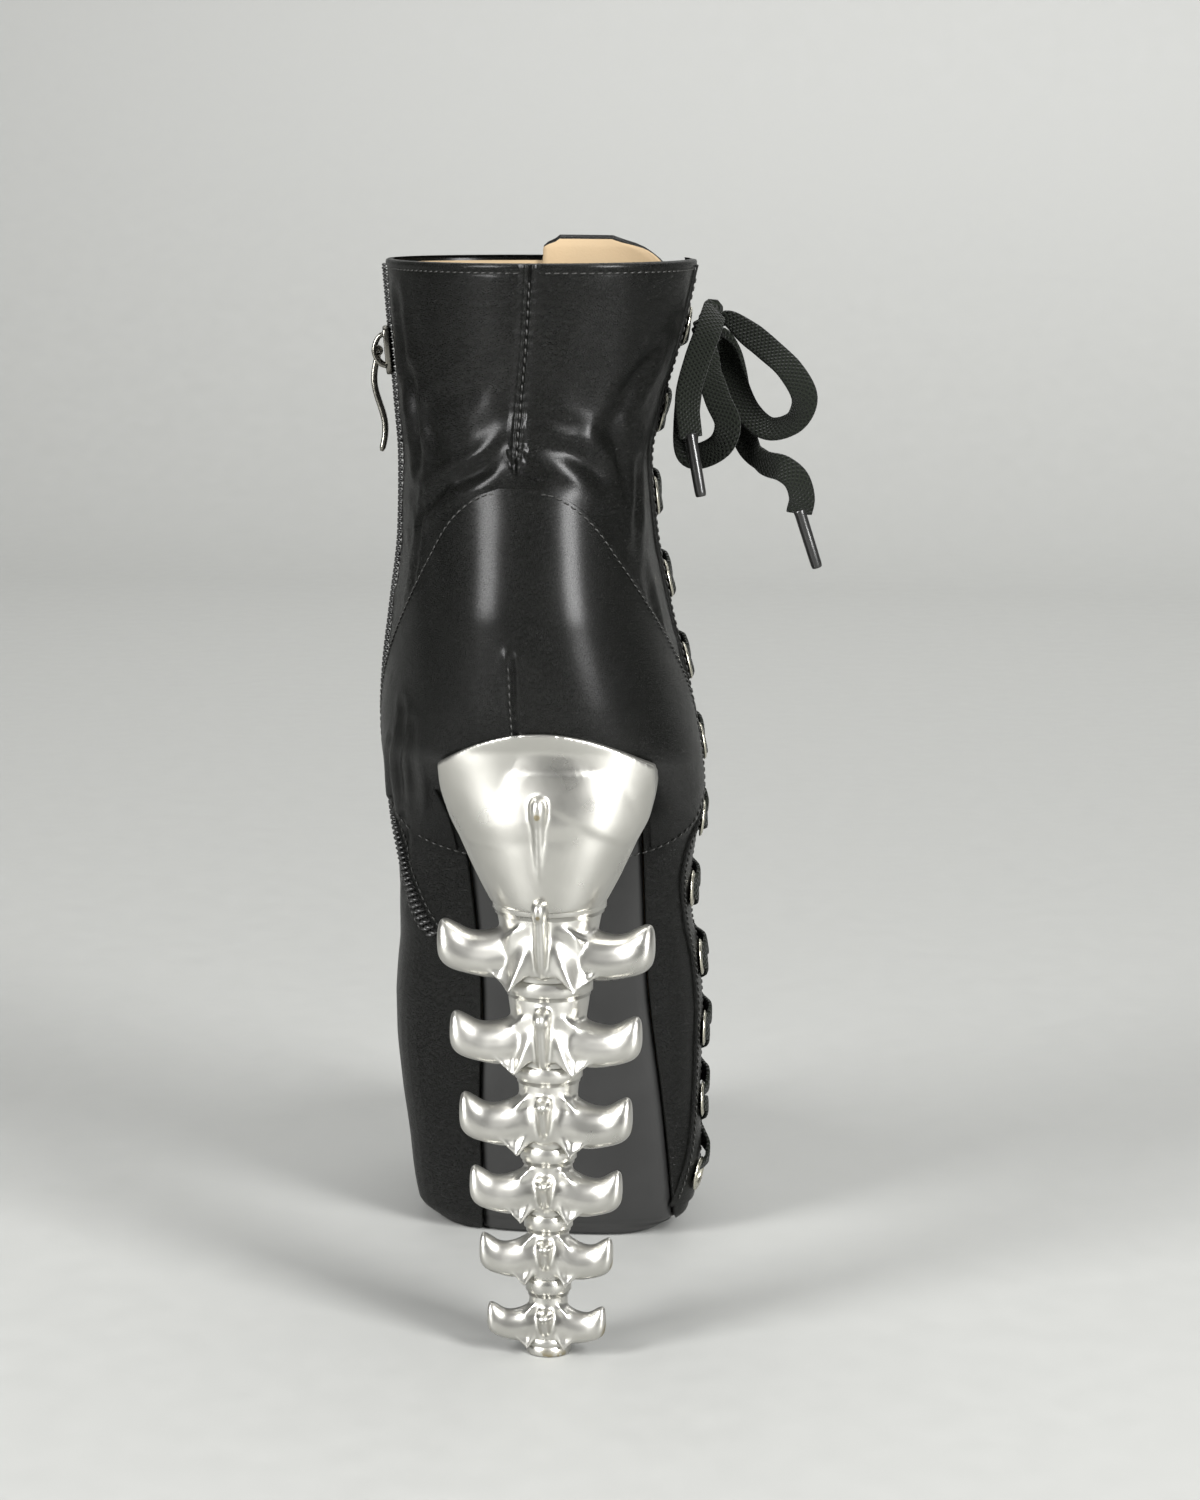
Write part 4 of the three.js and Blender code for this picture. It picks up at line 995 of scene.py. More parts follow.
def counter_relief(z, way):
    """The dart at the counter's centre and the soft hollows that its pull leaves."""
    here = soft_step(z, 160, 163) * (1 - soft_step(z, 188, 192))
    aside = way - dart_way(z)
    groove = -0.85 * np.exp(-(aside / 0.6) ** 2)
    lips = 0.5 * np.exp(-((np.abs(aside) - 1.5) / 0.8) ** 2)
    pucker = 0.22 * np.sin(z * 2.4) * np.exp(-(aside / 2.2) ** 2)
    top = 0.5 * np.exp(-((z - 189) / 3) ** 2 - (aside / 3) ** 2)
    pull = -0.4 * np.exp(-((way + 22 + 0.3 * (z - 180)) / 6) ** 2) * soft_step(z, 150, 175)
    low = np.minimum(z, PANEL_TOP)
    calm = soft_step(low, 130, PANEL_TOP)
    beside_cap = crease_depth(z, way) * soft_step(-z, -184, -172)
    return beside_cap + calm * (here * (groove + lips + pucker) + top + pull + 0.16 * ripples(z, way, 8, 34))


COUNTER_COLUMNS = (36, 60, 30)


def counter_breaks(z):
    reach = float(counter_turn(z))
    low = min(z, PANEL_TOP)
    above = float(soft_step(z, PANEL_TOP, PANEL_TOP + 30))
    inner = panel_turn(low, -1, 2) * (1 - above) - reach * 0.4 * above
    outer = panel_turn(low, 1, 2) * (1 - above) + reach * 0.4 * above
    return [-reach, max(inner, -reach + 0.5), min(outer, reach - 0.5), reach]


def make_counter():
    top = height_at(COUNTER[-1].level)
    below = heights(height_at(COUNTER[0].level), PANEL_TOP, 1.0)
    above = np.concatenate([heights(PANEL_TOP, top - 6, 1.2)[1:], np.linspace(top - 5.4, top, 12)])
    rows = np.concatenate([below, above])

    def over_panel(r, c):
        z = rows[r]
        if z > PANEL_TOP - 0.05:
            return False
        if c < COUNTER_COLUMNS[0]:
            return counter_turn(z) < -panel_turn(z, -1, 2)
        if c < COUNTER_COLUMNS[0] + COUNTER_COLUMNS[1]:
            return True
        return counter_turn(z) < panel_turn(z, 1, 2)

    overlay("counter", rows, counter_breaks, COUNTER_COLUMNS, smooth_leather, counter_relief, over_panel)


def facing_relief(z, way):
    return 0.6 * crease_depth(z, way) * soft_step(z, 60, 150) + 0.08 * ripples(z, way, 5, 18)


def make_facings():
    rows = heights(LOWEST_EYELET - FACING_HALF, COLLAR_HEIGHT - 1.2, 1.5)
    for name, turn_of_row in (("facing_outer", row_turn), ("facing_front", other_row_turn)):
        def edges(z):
            return [turn_away(z, turn_of_row(z), away) for away in (-FACING_HALF, FACING_HALF)]

        overlay(name, rows, edges, (18,), edge_leather, facing_relief)


BACK_STAY_LOW = 235
BACK_STAY_MIDDLE = -0.4


def back_stay_half(z):
    return 3.4 * (1 - 0.3 * soft_step(-z, -245, -235)) + 0.12 * np.sin(z * 1.7)


def back_stay_relief(z, way):
    across = (way - BACK_STAY_MIDDLE) / back_stay_half(z)
    x = np.abs(across)
    fold = 0.55 * np.exp(-((x - 0.26) / 0.2) ** 2)
    groove = -0.35 * np.exp(-(x / 0.07) ** 2)
    pinch = 0.14 * np.sin(z * 2.4) * np.exp(-((x - 0.2) / 0.3) ** 2)
    knot = 0.3 * np.exp(-((z - 240) / 3) ** 2) * np.sin(z * 1.9 + 3 * across)
    fade = 1 - soft_step(x, 0.6, 1)
    return upper_relief(z, way) + (fold + groove + pinch + knot) * fade + 0.16 - 0.2 * (1 - fade)


def make_back_stay():
    """Two folded edges that meet along the back of the shaft, gathered at their foot."""
    rows = np.linspace(BACK_STAY_LOW, COLLAR_HEIGHT + 0.1, 90)
    across = np.linspace(-1, 1, 33)
    turns = [turn_along(z, across * back_stay_half(z) + BACK_STAY_MIDDLE) for z in rows]
    points, _ = laid(rows, turns, back_stay_relief)
    shape = (points, grid_faces(len(rows), len(across)))
    put("back_stay", shape, shaft_leather, "upper_leather")


# Stitches

def bead(centre, along, side, up, half_length, half_width, half_height):
    """A small rounded body with pinched ends."""
    c, s = circle(6)
    rings = []
    for t, share, dip in ((-1, 0.35, 0.9), (-0.55, 1, 0), (0.55, 1, 0), (1, 0.35, 0.9)):
        ring = c[:, None] * side * half_width * share + s[:, None] * up * half_height * share
        rings.append(centre + along * half_length * t + ring - up * half_height * dip)
    return loft(rings)


def stitch_line(z, turns, relief, pitch=2.2, length=1.7, thread=0.22):
    """Stitches along a line on the upper, given as heights and turns."""
    points, normals = laid(z, np.array(turns)[:, None], relief)
    even = resample(np.hstack([points, normals]), pitch)
    shapes = []
    for start, end in zip(even, even[1:]):
        here = (start + end) / 2
        up = unit(here[3:])
        along = unit(end[:3] - start[:3])
        slant = unit(along + 0.1 * np.cross(up, along))
        shapes.append(bead(here[:3], slant, np.cross(up, slant), up, length / 2, thread, thread))
    return shapes


def counter_stitches():
    top = height_at(COUNTER[-1].level)
    rise = np.concatenate([np.linspace(124, top - 4, 60), np.linspace(top - 3.6, top - 1.8, 8)])
    inner = [turn_away(z, -counter_turn(z), 1.6) for z in rise]
    outer = [turn_away(z, counter_turn(z), -1.6) for z in rise]
    return stitch_line(np.append(rise, rise[::-1]), inner + outer[::-1], lambda z, way: OVERLAY_STEP + 0.2)


def facing_stitches():
    rows = np.linspace(LOWEST_EYELET - FACING_HALF + 2, COLLAR_HEIGHT - 4, 90)
    lines = []
    for turn_of_row in (row_turn, other_row_turn):
        for away in (-FACING_HALF + 1.6, FACING_HALF - 1.6):
            turns = [turn_away(z, turn_of_row(z), away) for z in rows]
            lines += stitch_line(rows, turns, lambda z, way: OVERLAY_STEP + 0.15 + facing_relief(z, way))
    return lines


def zip_stitches():
    rows = np.linspace(ZIP_LOW + 1, COLLAR_HEIGHT - 4, 80)
    lines = []
    for away in (-ZIP_SLOT - 1.8, ZIP_SLOT + 1.8):
        turns = [turn_away(z, zip_turn(z), away) for z in rows]
        lines += stitch_line(rows, turns, lambda z, way: 0.12 + upper_relief(z, way))
    return lines


def back_stitches():
    """The seam down the back of the shaft, and the one beside the counter's dart."""
    stay = np.linspace(BACK_STAY_LOW + 4, COLLAR_HEIGHT - 4, 40)
    turns = [turn_along(z, BACK_STAY_MIDDLE) for z in stay]
    seam = stitch_line(stay, turns, lambda z, way: 0.2 + upper_relief(z, way), 2.4, 2.0, 0.24)
    dart = np.linspace(163, 187, 30)
    turns = [turn_along(z, dart_way(z) - 0.9) for z in dart]
    beside = stitch_line(
        dart, turns, lambda z, way: OVERLAY_STEP + 0.1 + counter_relief(z, way), 2.2, 1.6, 0.2)
    return seam + beside


def collar_stitches():
    z = COLLAR_HEIGHT - 2.2
    outer = along_section(z, row_turn(z)) - FACING_HALF - 1
    behind_zip = along_section(z, zip_turn(z) - 360) + ZIP_SLOT + 2
    before_zip = behind_zip - 2 * ZIP_SLOT - 4
    front = along_section(z, other_row_turn(z) - 360) + FACING_HALF + 1
    lines = []
    for start, end in ((3, outer), (-3, behind_zip), (before_zip, front)):
        turns = turn_along(z, np.linspace(start, end, 60))
        lines += stitch_line(np.full(60, z), turns, lambda z, way: -0.1)
    return lines


def make_stitches():
    lines = counter_stitches() + facing_stitches() + zip_stitches() + back_stitches() + collar_stitches()
    put("stitching", joined(lines), thread_black, "upper_leather")


# Tongue

TONGUE_TOP = COLLAR_HEIGHT + 5.5


def from_edge(count):
    """Each column's number, counted from the nearer side."""
    return np.minimum(np.arange(count), np.arange(count)[::-1])[None, :]


def make_tongue():
    rows = np.concatenate([heights(THROAT_LOW - 3, COLLAR_HEIGHT - 8, 3), np.linspace(281, TONGUE_TOP, 14)])
    count = 26
    turns = []
    for z in rows:
        gap = lacing_gap(z)
        raised = float(np.clip((z - COLLAR_HEIGHT + 8) / 13.5, 0, 1))
        corner = 5 * soft_step(z, TONGUE_TOP - 4, TONGUE_TOP) ** 2
        first = turn_away(z, row_turn(z), 3 + raised * gap * 0.5 + corner)
        turns.append(spread(z, first, turn_away(z, row_turn(z), gap - 3 - corner), count))
    turns = np.array(turns)
    z = np.repeat(rows[:, None], count, 1)
    _, _, _, normal = surface_frame(z, turns)
    soft = soft_step(from_edge(count), 0, 3) * soft_step(TONGUE_TOP - z, 0, 2.5)
    half = normal * (0.35 + 0.4 * soft)[..., None]
    middle = -UPPER_WALL - CLEARANCE - 0.8
    lower = z - 1.1 * soft_step(z, TONGUE_TOP - 5, TONGUE_TOP)
    shape = slab(section_point(z, turns, middle) + half, section_point(lower, turns, middle) - half)
    side = (len(rows) - 1) * (count - 1)
    marks = [0] * side + [1] * side + [0] * (len(shape[1]) - 2 * side)
    put("tongue_pad", shape, [edge_leather, lining_leather], "upper_leather", "tongue", marks=marks)


# Sole and footbed

def make_panel():
    """The bare panel under the arch, with a fine line above the tread."""
    rows = np.concatenate([np.linspace(0.4, 6, 8), heights(7, PANEL_TOP, 2)])
    count = 26
    turns = [spread(z, panel_turn(z, -1, -CLEARANCE), panel_turn(z, 1, -CLEARANCE), count) for z in rows]
    turned = -0.8 * (1 - soft_step(from_edge(count), 0, 1.5))
    points, normals = laid(
        rows, turns, lambda z, way: -PANEL_RECESS - 0.35 * np.exp(-((z - 4) / 0.5) ** 2) + turned)
    return with_rim(points, normals, grid_faces(len(rows), count), 1.5)


def make_tread():
    ring_turns = spread(2, 0, 360, 161)[:-1]
    rings = []
    for height, more in ((3.7, 0), (1, 0), (0.3, 0.3), (0, 1.1)):
        ring = section_point(np.full(160, 2.0), ring_turns, -TREAD_INSET - more)
        rings.append(ring * (1, 1, 0) + (0, 0, height))
    inner = rings[-1]
    for share in (0.75, 0.5, 0.25):
        rings.append(inner.mean(0) + (inner - inner.mean(0)) * share)
    return loft(rings[::-1])


def make_sole():
    panel, tread = make_panel(), make_tread()
    marks = [0] * len(panel[1]) + [1] * len(tread[1])
    put("sole_cover", joined([panel, tread]), [sole_finish, tread_finish], "sole_black", "sole", marks=marks)


def make_footbed():
    """Padded footbed in lining leather, seen down the shaft."""
    across = np.linspace(-1, 1, 25)
    inset = UPPER_WALL + 0.7
    rows = []
    for y in np.linspace(-9, 190.5, 90):
        height = float(footbed_height(y)) + 2.6
        _, share, power = half_shape(height, y, inset)
        half = max(0.5, (last_half(height) - inset) * (1 - share**power) ** (1 / power))
        x = centre_at(y) + last_lean(height) + across * half
        rows.append(np.stack([x, np.full(25, y), height + 0.9 * np.abs(across) ** 4], -1))
    points = np.array(rows).reshape(-1, 3)
    faces = [face[::-1] for face in grid_faces(len(rows), len(across))]
    normals = np.tile((0.0, 0.0, 1.0), (len(points), 1))
    put("footbed_pad", with_rim(points, normals, faces, 2.0), lining_leather, "lining_leather", "insole")


# Heel

# high and low are shares of the seat's height; span, band and fin are millimetres; knob is how
# far the fin's knob stands above the wings
Vertebra = namedtuple("Vertebra", "high low span band knob fin")
VERTEBRAE = [
    Vertebra(0.725, 0.63, 28.2, 15, 7.5, 21), Vertebra(0.575, 0.488, 25, 11.6, 2, 16.5),
    Vertebra(0.442, 0.354, 22.6, 9, -0.5, 11.5), Vertebra(0.32, 0.24, 20, 7.5, -2.5, 9),
    Vertebra(0.207, 0.133, 17.6, 6.5, -1.5, 8.5), Vertebra(0.09, 0.0245, 15.7, 6.1, -1.5, 7.8),
]
BAND_RISE = 0.024
Cap = namedtuple("Cap", "rise half back front")
CAP = [
    Cap(0.745, 0.52, -0.44, 0.62), Cap(0.76, 0.57, -0.46, 0.66), Cap(0.8, 0.69, -0.49, 0.74),
    Cap(0.848, 0.82, -0.51, 0.84), Cap(0.89, 0.94, -0.5, 0.93), Cap(0.945, 1, -0.47, 1),
    Cap(1.02, 1, -0.44, 1.05),
]
CAP_HALF = 28.7
AXIS_LEAN = 4
FIN_WIDTH = 4


def axis_at(z):
    return AXIS_LEAN * np.maximum(0, z / (SEAT_HEIGHT * 0.75)) ** 2


def oval(z, half, back, front, sides=64):
    c, s = circle(sides)
    y = (back + front) / 2 - (front - back) / 2 * c
    return np.stack([half * s, y, np.full(sides, float(z))], -1)


def drum(z, radius):
    """Ring of the heel's column, round its leaning axis."""
    return oval(z, radius, axis_at(z) - radius, axis_at(z) + radius)


def cap_curve(name):
    rise = np.array([row.rise for row in CAP]) * SEAT_HEIGHT
    return curve_through(rise, np.array([getattr(row, name) for row in CAP]) * CAP_HALF)


cap_half = cap_curve("half")
cap_back = cap_curve("back")
cap_front = cap_curve("front")


def cap_shape():
    """The cap below the seat, with the raised edge of its shield."""
    rings = []
    for z in np.linspace(CAP[0].rise * SEAT_HEIGHT, SEAT_HEIGHT - 5, 50):
        ring = oval(z, cap_half(z), cap_back(z), cap_front(z), 120)
        ring[:, 0] += centre_at(ring[:, 1]) - centre_at(0)
        below = np.abs(ring[:, 0]) * 0.52
        step = soft_step(151 - below - z, -0.8, 1.2) * (ring[:, 1] < 0)
        centre = np.array([0, (cap_back(z) + cap_front(z)) / 2, z])
        ring -= unit(ring - centre) * (0.55 * step)[:, None]
        rings.append(ring)
    return loft(rings)


def counter_y(x, z):
    reach = np.clip(np.abs(x - last_lean(z)) / (last_half(z) + 2.2), 0, 1)
    depth = last_middle(z) - last_back(z) + 2.2
    return last_middle(z) - depth * (1 - reach ** last_rear(z)) ** (1 / last_rear(z))


def cap_y(x, z):
    turn = np.sqrt(np.clip(1 - (x / cap_half(z)) ** 2, 0, 1))
    return (cap_back(z) + cap_front(z)) / 2 - (cap_front(z) - cap_back(z)) / 2 * turn


def cap_skirt_shape():
    """The cap's upper edge: a shield that follows the counter and ends in an arch."""
    columns = np.linspace(-1, 1, 61)
    share = np.sign(columns) * (1 - (1 - np.abs(columns)) ** 1.4)
    low = 139.0
    rows = []
    for t in np.linspace(0, 1, 34):
        top = 169.5 - 0.012 * (CAP_HALF * share) ** 2
        z = low + (top - low) * t
        x = share * cap_half(z) * 0.985
        gap = counter_y(x, np.maximum(z, SEAT_HEIGHT)) - cap_y(x, z)
        sunk = 0.8 * (1 - soft_step(z, low, low + 7))
        y = cap_y(x, z) + sunk + np.minimum(gap, 0.3) * soft_step(z, low + 2, SEAT_HEIGHT - 1)
        rows.append(np.stack([x, y, z], -1))
    outer = np.array(rows)
    inner = outer * (0.97, 1, 1)
    inner[:, :, 1] = 14
    return slab(outer, inner)


def column_shape():
    """The drums, each narrower at its waist than at the band above it."""
    rings = []
    below = [vertebra.band for vertebra in VERTEBRAE[1:]] + [TIP_RADIUS]
    for vertebra, next_band in zip(VERTEBRAE, below):
        high = vertebra.high * SEAT_HEIGHT + 2
        low = vertebra.low * SEAT_HEIGHT
        rings.append(drum(high, vertebra.band - 0.9))
        rings.append(drum((high + low) / 2, (vertebra.band + next_band) / 2 - 0.9))
        rings.append(drum(low, next_band - 0.5))
    rings.append(drum(TIP_HEIGHT + CLEARANCE, TIP_RADIUS))
    return loft(rings[::-1])


def band_shapes():
    """A crisp band round the head of each drum, with a narrower lip under it."""
    tops = [CAP[0].rise * SEAT_HEIGHT + 2.6]
    tops += [vertebra.low * SEAT_HEIGHT - 0.6 for vertebra in VERTEBRAE[:-1]]
    tall = BAND_RISE * SEAT_HEIGHT
    profile = [
        (0, 1.2), (0, 0.25), (0.25, 0), (tall - 0.25, 0), (tall, 0.25), (tall + 0.1, 0.6), (tall + 1, 0.6),
        (tall + 1.3, 1.2),
    ]
    return [loft([drum(top - down, vertebra.band - inset) for down, inset in profile[::-1]])
            for vertebra, top in zip(VERTEBRAE, tops)]


# One side process from its root to its end: shares of the span, of the vertebra's height
# and of the span again
Wing = namedtuple("Wing", "reach rise half deep back")
WING = [
    Wing(0.05, 0.5, 0.46, 0.32, 0.02), Wing(0.3, 0.44, 0.46, 0.29, 0.08), Wing(0.5, 0.36, 0.42, 0.25, 0.13),
    Wing(0.7, 0.38, 0.38, 0.21, 0.17), Wing(0.86, 0.49, 0.41, 0.19, 0.2), Wing(0.95, 0.57, 0.4, 0.165, 0.21),
    Wing(1.0, 0.6, 0.31, 0.12, 0.21), Wing(1.015, 0.6, 0.16, 0.06, 0.21),
]


def wing_shape(vertebra, side):
    tall = (vertebra.high - vertebra.low) * SEAT_HEIGHT
    c, s = circle(20)
    up = np.where(s > 0, np.abs(s) ** 0.8, s)
    rings = []
    for reach, rise, half, deep, back in dense_line(WING, 0.03):
        z = vertebra.low * SEAT_HEIGHT + rise * tall
        y = axis_at(z) - back * vertebra.span + c * deep * vertebra.span * (1 - 0.25 * s)
        rings.append(np.stack([np.full(20, side * reach * vertebra.span), y, z + up * half * tall], -1))
    return loft(rings if side > 0 else rings[::-1])


# Lower and upper edge of the folds between the wings: share of the span, share of the height
FOLD_LOW = [(0, 0.06), (0.13, 0.12), (0.22, 0.0), (0.31, -0.17), (0.38, -0.06), (0.5, 0.1), (0.72, 0.25)]
FOLD_HIGH = [(0, 1.0), (0.22, 0.95), (0.36, 0.74), (0.5, 0.58), (0.72, 0.5)]


def ridge_rise(x, rise, start, end, head, foot, wide):
    """Height of a sharp ridge from start to end, with hollow flanks."""
    run = np.array(end) - np.array(start)
    length = np.hypot(*run)
    t = np.clip(((x - start[0]) * run[0] + (rise - start[1]) * run[1]) / length**2, 0, 1)
    away = np.hypot(x - start[0] - t * run[0], rise - start[1] - t * run[1])
    return (head + (foot - head) * t) * np.exp(-(away / wide) ** 1.25)


# Ridges of the folds: start, end, height at each, width, all as shares
RIDGES = [
    ((0.31, -0.17), (0.66, 0.45), 0.15, 0.06, 0.17),
    ((0.31, -0.17), (0.13, 0.6), 0.15, 0.04, 0.12),
    ((0.3, 0.9), (0.36, 0.4), 0.07, 0.03, 0.1),
]


def fold_shape(vertebra):
    """Draped folds: on each side ridges run up from a hanging point to the wing and to the fin."""
    tall = (vertebra.high - vertebra.low) * SEAT_HEIGHT
    span = vertebra.span
    across = np.linspace(-0.72, 0.72, 73)
    x = np.abs(across)
    edge_low = np.interp(x, *zip(*FOLD_LOW))
    edge_high = np.interp(x, *zip(*FOLD_HIGH))
    round_drum = np.sqrt(np.clip(((vertebra.band - 1) / span) ** 2 - x**2, 0, 1)) * 0.96
    body = np.maximum(round_drum, 0.2 * (1 - soft_step(x, 0.5, 0.75)) + 0.08)
    rows = []
    for t in np.linspace(0, 1, 37):
        rise = edge_low + (edge_high - edge_low) * t
        ridges = np.max([ridge_rise(x, rise, *ridge) for ridge in RIDGES], axis=0)
        z = vertebra.low * SEAT_HEIGHT + rise * tall
        rows.append(np.stack([across * span, axis_at(z) - (body + ridges) * span, z], -1))
    outer = np.array(rows)
    inner = outer * (0.96, 1, 1)
    inner[:, :, 1] = axis_at(inner[:, :, 2]) + 0.5
    return slab(outer, inner)


# The fin from its top: shares of its height, of its reach and of its width
KNOB = [
    (1.0, 0.3, 0.45), (0.985, 0.7, 0.8), (0.94, 1.0, 1.1), (0.86, 1.12, 1.18), (0.78, 1.05, 1.1),
    (0.7, 0.86, 0.92), (0.5, 0.7, 0.84), (0.28, 0.55, 0.8), (0.1, 0.35, 0.7), (0.0, 0.12, 0.5),
]


def fin_shape(high, low, root_high, root_low, reach):
    """A rounded fin with a knob at its top that sinks into the heel towards its foot."""
    c, s = circle(16)
    rings = []
    for t, share, wide in dense_line(KNOB, 0.05):
        root = root_low + (root_high - root_low) * t
        back = root - reach * share
        front = root + 2.5
        y = (back + front) / 2 - (front - back) / 2 * c
        rings.append(np.stack([FIN_WIDTH / 2 * wide * s, y, np.full(16, low + t * (high - low))], -1))
    return loft(rings[::-1])


def last_tool(out, low, high):
    """Closed body of the last, grown by out, for trimming the heel's seat."""
    rows = np.linspace(low, high, 40)
    rings = [section_point(np.full(120, z), spread(z, 0, 360, 121)[:-1], out) for z in rows]
    points, faces = loft(rings)
    return make_object("seat_tool", points, faces, [])


def wear_on(piece, spots):
    """Stores how worn each point is: spots are (centre, radius, strength)."""
    place = np.empty(len(piece.data.vertices) * 3, np.float32)
    piece.data.vertices.foreach_get("co", place)
    place = place.reshape(-1, 3) / MM
    wear = np.zeros(len(place), np.float32)
    for centre, radius, strength in spots:
        distance = np.linalg.norm(place - np.array(centre), axis=1)
        wear = np.maximum(wear, strength * (1 - soft_step(distance, radius * 0.5, radius)))
    layer = piece.data.attributes.new("wear", "FLOAT", "POINT")
    layer.data.foreach_set("value", wear.astype(np.float32))


def cast(name, shapes, voxel, spots):
    """One smooth casting from overlapping shapes, trimmed to the counter above it."""
    piece = make_object(name, *joined(shapes), [plating], "heel_plating")
    remesh = piece.modifiers.new("remesh", "REMESH")
    remesh.mode = "VOXEL"
    remesh.voxel_size = voxel * MM
    soften = piece.modifiers.new("soften", "SMOOTH")
    soften.factor = 0.6
    soften.iterations = 10
    tool = last_tool(OVERLAY_STEP + CLEARANCE, 0.7 * SEAT_HEIGHT, 1.15 * SEAT_HEIGHT)
    cut = piece.modifiers.new("cut", "BOOLEAN")
    cut.operation = "DIFFERENCE"
    cut.object = tool
    bpy.context.view_layer.objects.active = piece
    for modifier in list(piece.modifiers):
        bpy.ops.object.modifier_apply(modifier=modifier.name)
    bpy.data.objects.remove(tool)
    shade_smooth(piece)
    wear_on(piece, spots)
    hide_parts("heel")
    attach(piece, "boot")


def make_cap():
    back = CAP[4].back * CAP_HALF
    top = 0.935 * SEAT_HEIGHT
    fin = fin_shape(top, 0.775 * SEAT_HEIGHT, back + 1, back + 2.5, 3.8)
    cast("heel_cap", [cap_shape(), cap_skirt_shape(), fin], 0.45, [((0, back - 3, top - 5), 1.1, 1.6)])


def make_column():
    shapes = [column_shape()]
    spots = []
    for index, vertebra in enumerate(VERTEBRAE):
        high = vertebra.high * SEAT_HEIGHT
        low = vertebra.low * SEAT_HEIGHT
        shapes.append(fold_shape(vertebra))
        for side in (-1, 1):
            shapes.append(wing_shape(vertebra, side))
            end = (side * vertebra.span, axis_at(high) - 0.2 * vertebra.span, (high + low * 2) / 3)
            spots.append((end, 1.2 + 0.35 * index, 1.0))
        top = high + vertebra.knob
        root = axis_at(top) - vertebra.band
        foot = axis_at(top - vertebra.fin) - vertebra.band + 1.5
        reach = 3.6 + 0.07 * vertebra.span
        shapes.append(fin_shape(top, top - vertebra.fin, root, foot, reach))
        spots.append(((0, root - reach * 1.05, top - vertebra.fin * 0.05 - 3.6), 0.9, 1.6))
    cast("heel_column", shapes, 0.5, spots)


def make_bands():
    bands = put("heel_bands", joined(band_shapes()), plating, "heel_plating")
    wear_on(bands, [])


def make_heel_tip():
    r = TIP_RADIUS
    profile = [
        (r - 0.7, 0), (r - 0.25, 0.12), (r, 0.5), (r, 2.4), (r - 0.25, 2.6), (r - 0.25, 2.8), (r, 3),
        (r, TIP_HEIGHT + 0.4),
    ]
    piece = put("heel_tip_cap", loft(lathe(profile, 64)), plating, "heel_plating", "heel_tip")
    wear_on(piece, [((0, -r, 0), 3.0, 1.0), ((4, -4, 0.2), 2.0, 1.0)])


# Zip

def place_matrix(z, turn):
    """Turns X round the section, Y up and Z out, at a point of the last."""
    point, round_way, up, normal = surface_frame(z, turn)
    turned = np.stack([round_way, up, normal, point * MM], -1)
    return Matrix([*turned.tolist(), [0, 0, 0, 1]])


COIL_RISE = 0.9
COIL_PITCH = 0.78


def make_zip_cloth():
    rows = np.arange(ZIP_LOW - 3, COLLAR_HEIGHT - 1, 1.5)
    tapes = []
    for side in (-1, 1):
        ways = np.linspace(0.3, 7, 8) * side
        depth = -1.4 + 1.5 * np.exp(-((np.abs(ways) - 0.3) / 2.1) ** 4)
        turns = [turn_along(z, along_section(z, zip_turn(z)) + ways) for z in rows]
        points, _ = laid(rows, turns, lambda z, way: depth)
        tapes.append((points, [face[::side] for face in grid_faces(len(rows), 8)]))
    points, faces = joined(tapes)
    piece = put("zip_cloth", (points, faces), tape_weave, "zip_black", "zip_tape")
    set_map(piece, np.stack([points[:, 2], np.arange(len(points)) % 8.0], -1))


def make_coil():
    coil = []
    for i, z in enumerate(np.arange(ZIP_LOW + 0.6, ZIP_TOP - 3, COIL_PITCH)):
        height = min(z, COLLAR_HEIGHT - 0.2)
        turn = turn_away(height, zip_turn(height), 0.95 if i % 2 else -0.95)
        point, round_way, up, normal = surface_frame(height, turn)
        centre = point + normal * COIL_RISE + (0, 0, z - height)
        coil.append(bead(centre, round_way, up, normal, 1.55, 0.46, 0.62))
    put("zip_coil", joined(coil), coil_black, "zip_black")


def rounded_plate(width, length, low, high, corner, sides=6):
    """Rounded rectangle with softened rims, X across, Y along, Z out."""
    outline = []
    for cx, cy, start in ((1, 1, 0), (-1, 1, 90), (-1, -1, 180), (1, -1, 270)):
        for k in range(sides + 1):
            a = math.radians(start + 90 * k / sides)
            outline.append((cx * (width / 2 - corner) + corner * math.cos(a),
                            cy * (length / 2 - corner) + corner * math.sin(a)))
    outline = np.array(outline)
    edge = min(0.35, (high - low) / 3)
    rings = []
    for z, inset in ((low, edge), (low + edge * 0.3, edge * 0.3), (low + edge, 0), (high - edge, 0),
                     (high - edge * 0.3, edge * 0.3), (high, edge)):
        shrink = 1 - inset / np.array([width / 2, length / 2])
        rings.append(np.hstack([outline * shrink, np.full((len(outline), 1), z)]))
    return loft(rings)


def tube(line, radius, sides=12):
    line = np.asarray(line, float)
    run = unit(np.gradient(line, axis=0))
    side = unit(np.cross(run, (0.31, 0.2, 0.93)))
    return loft(swept(line, side, np.cross(run, side), radius, radius, circle(sides)))


def put_at_slider(name, shapes, node, body):
    piece = put(name, joined(shapes), gunmetal, "zip_gunmetal", node, body)
    piece.data.transform(place_matrix(SLIDER_HEIGHT, zip_turn(SLIDER_HEIGHT)))


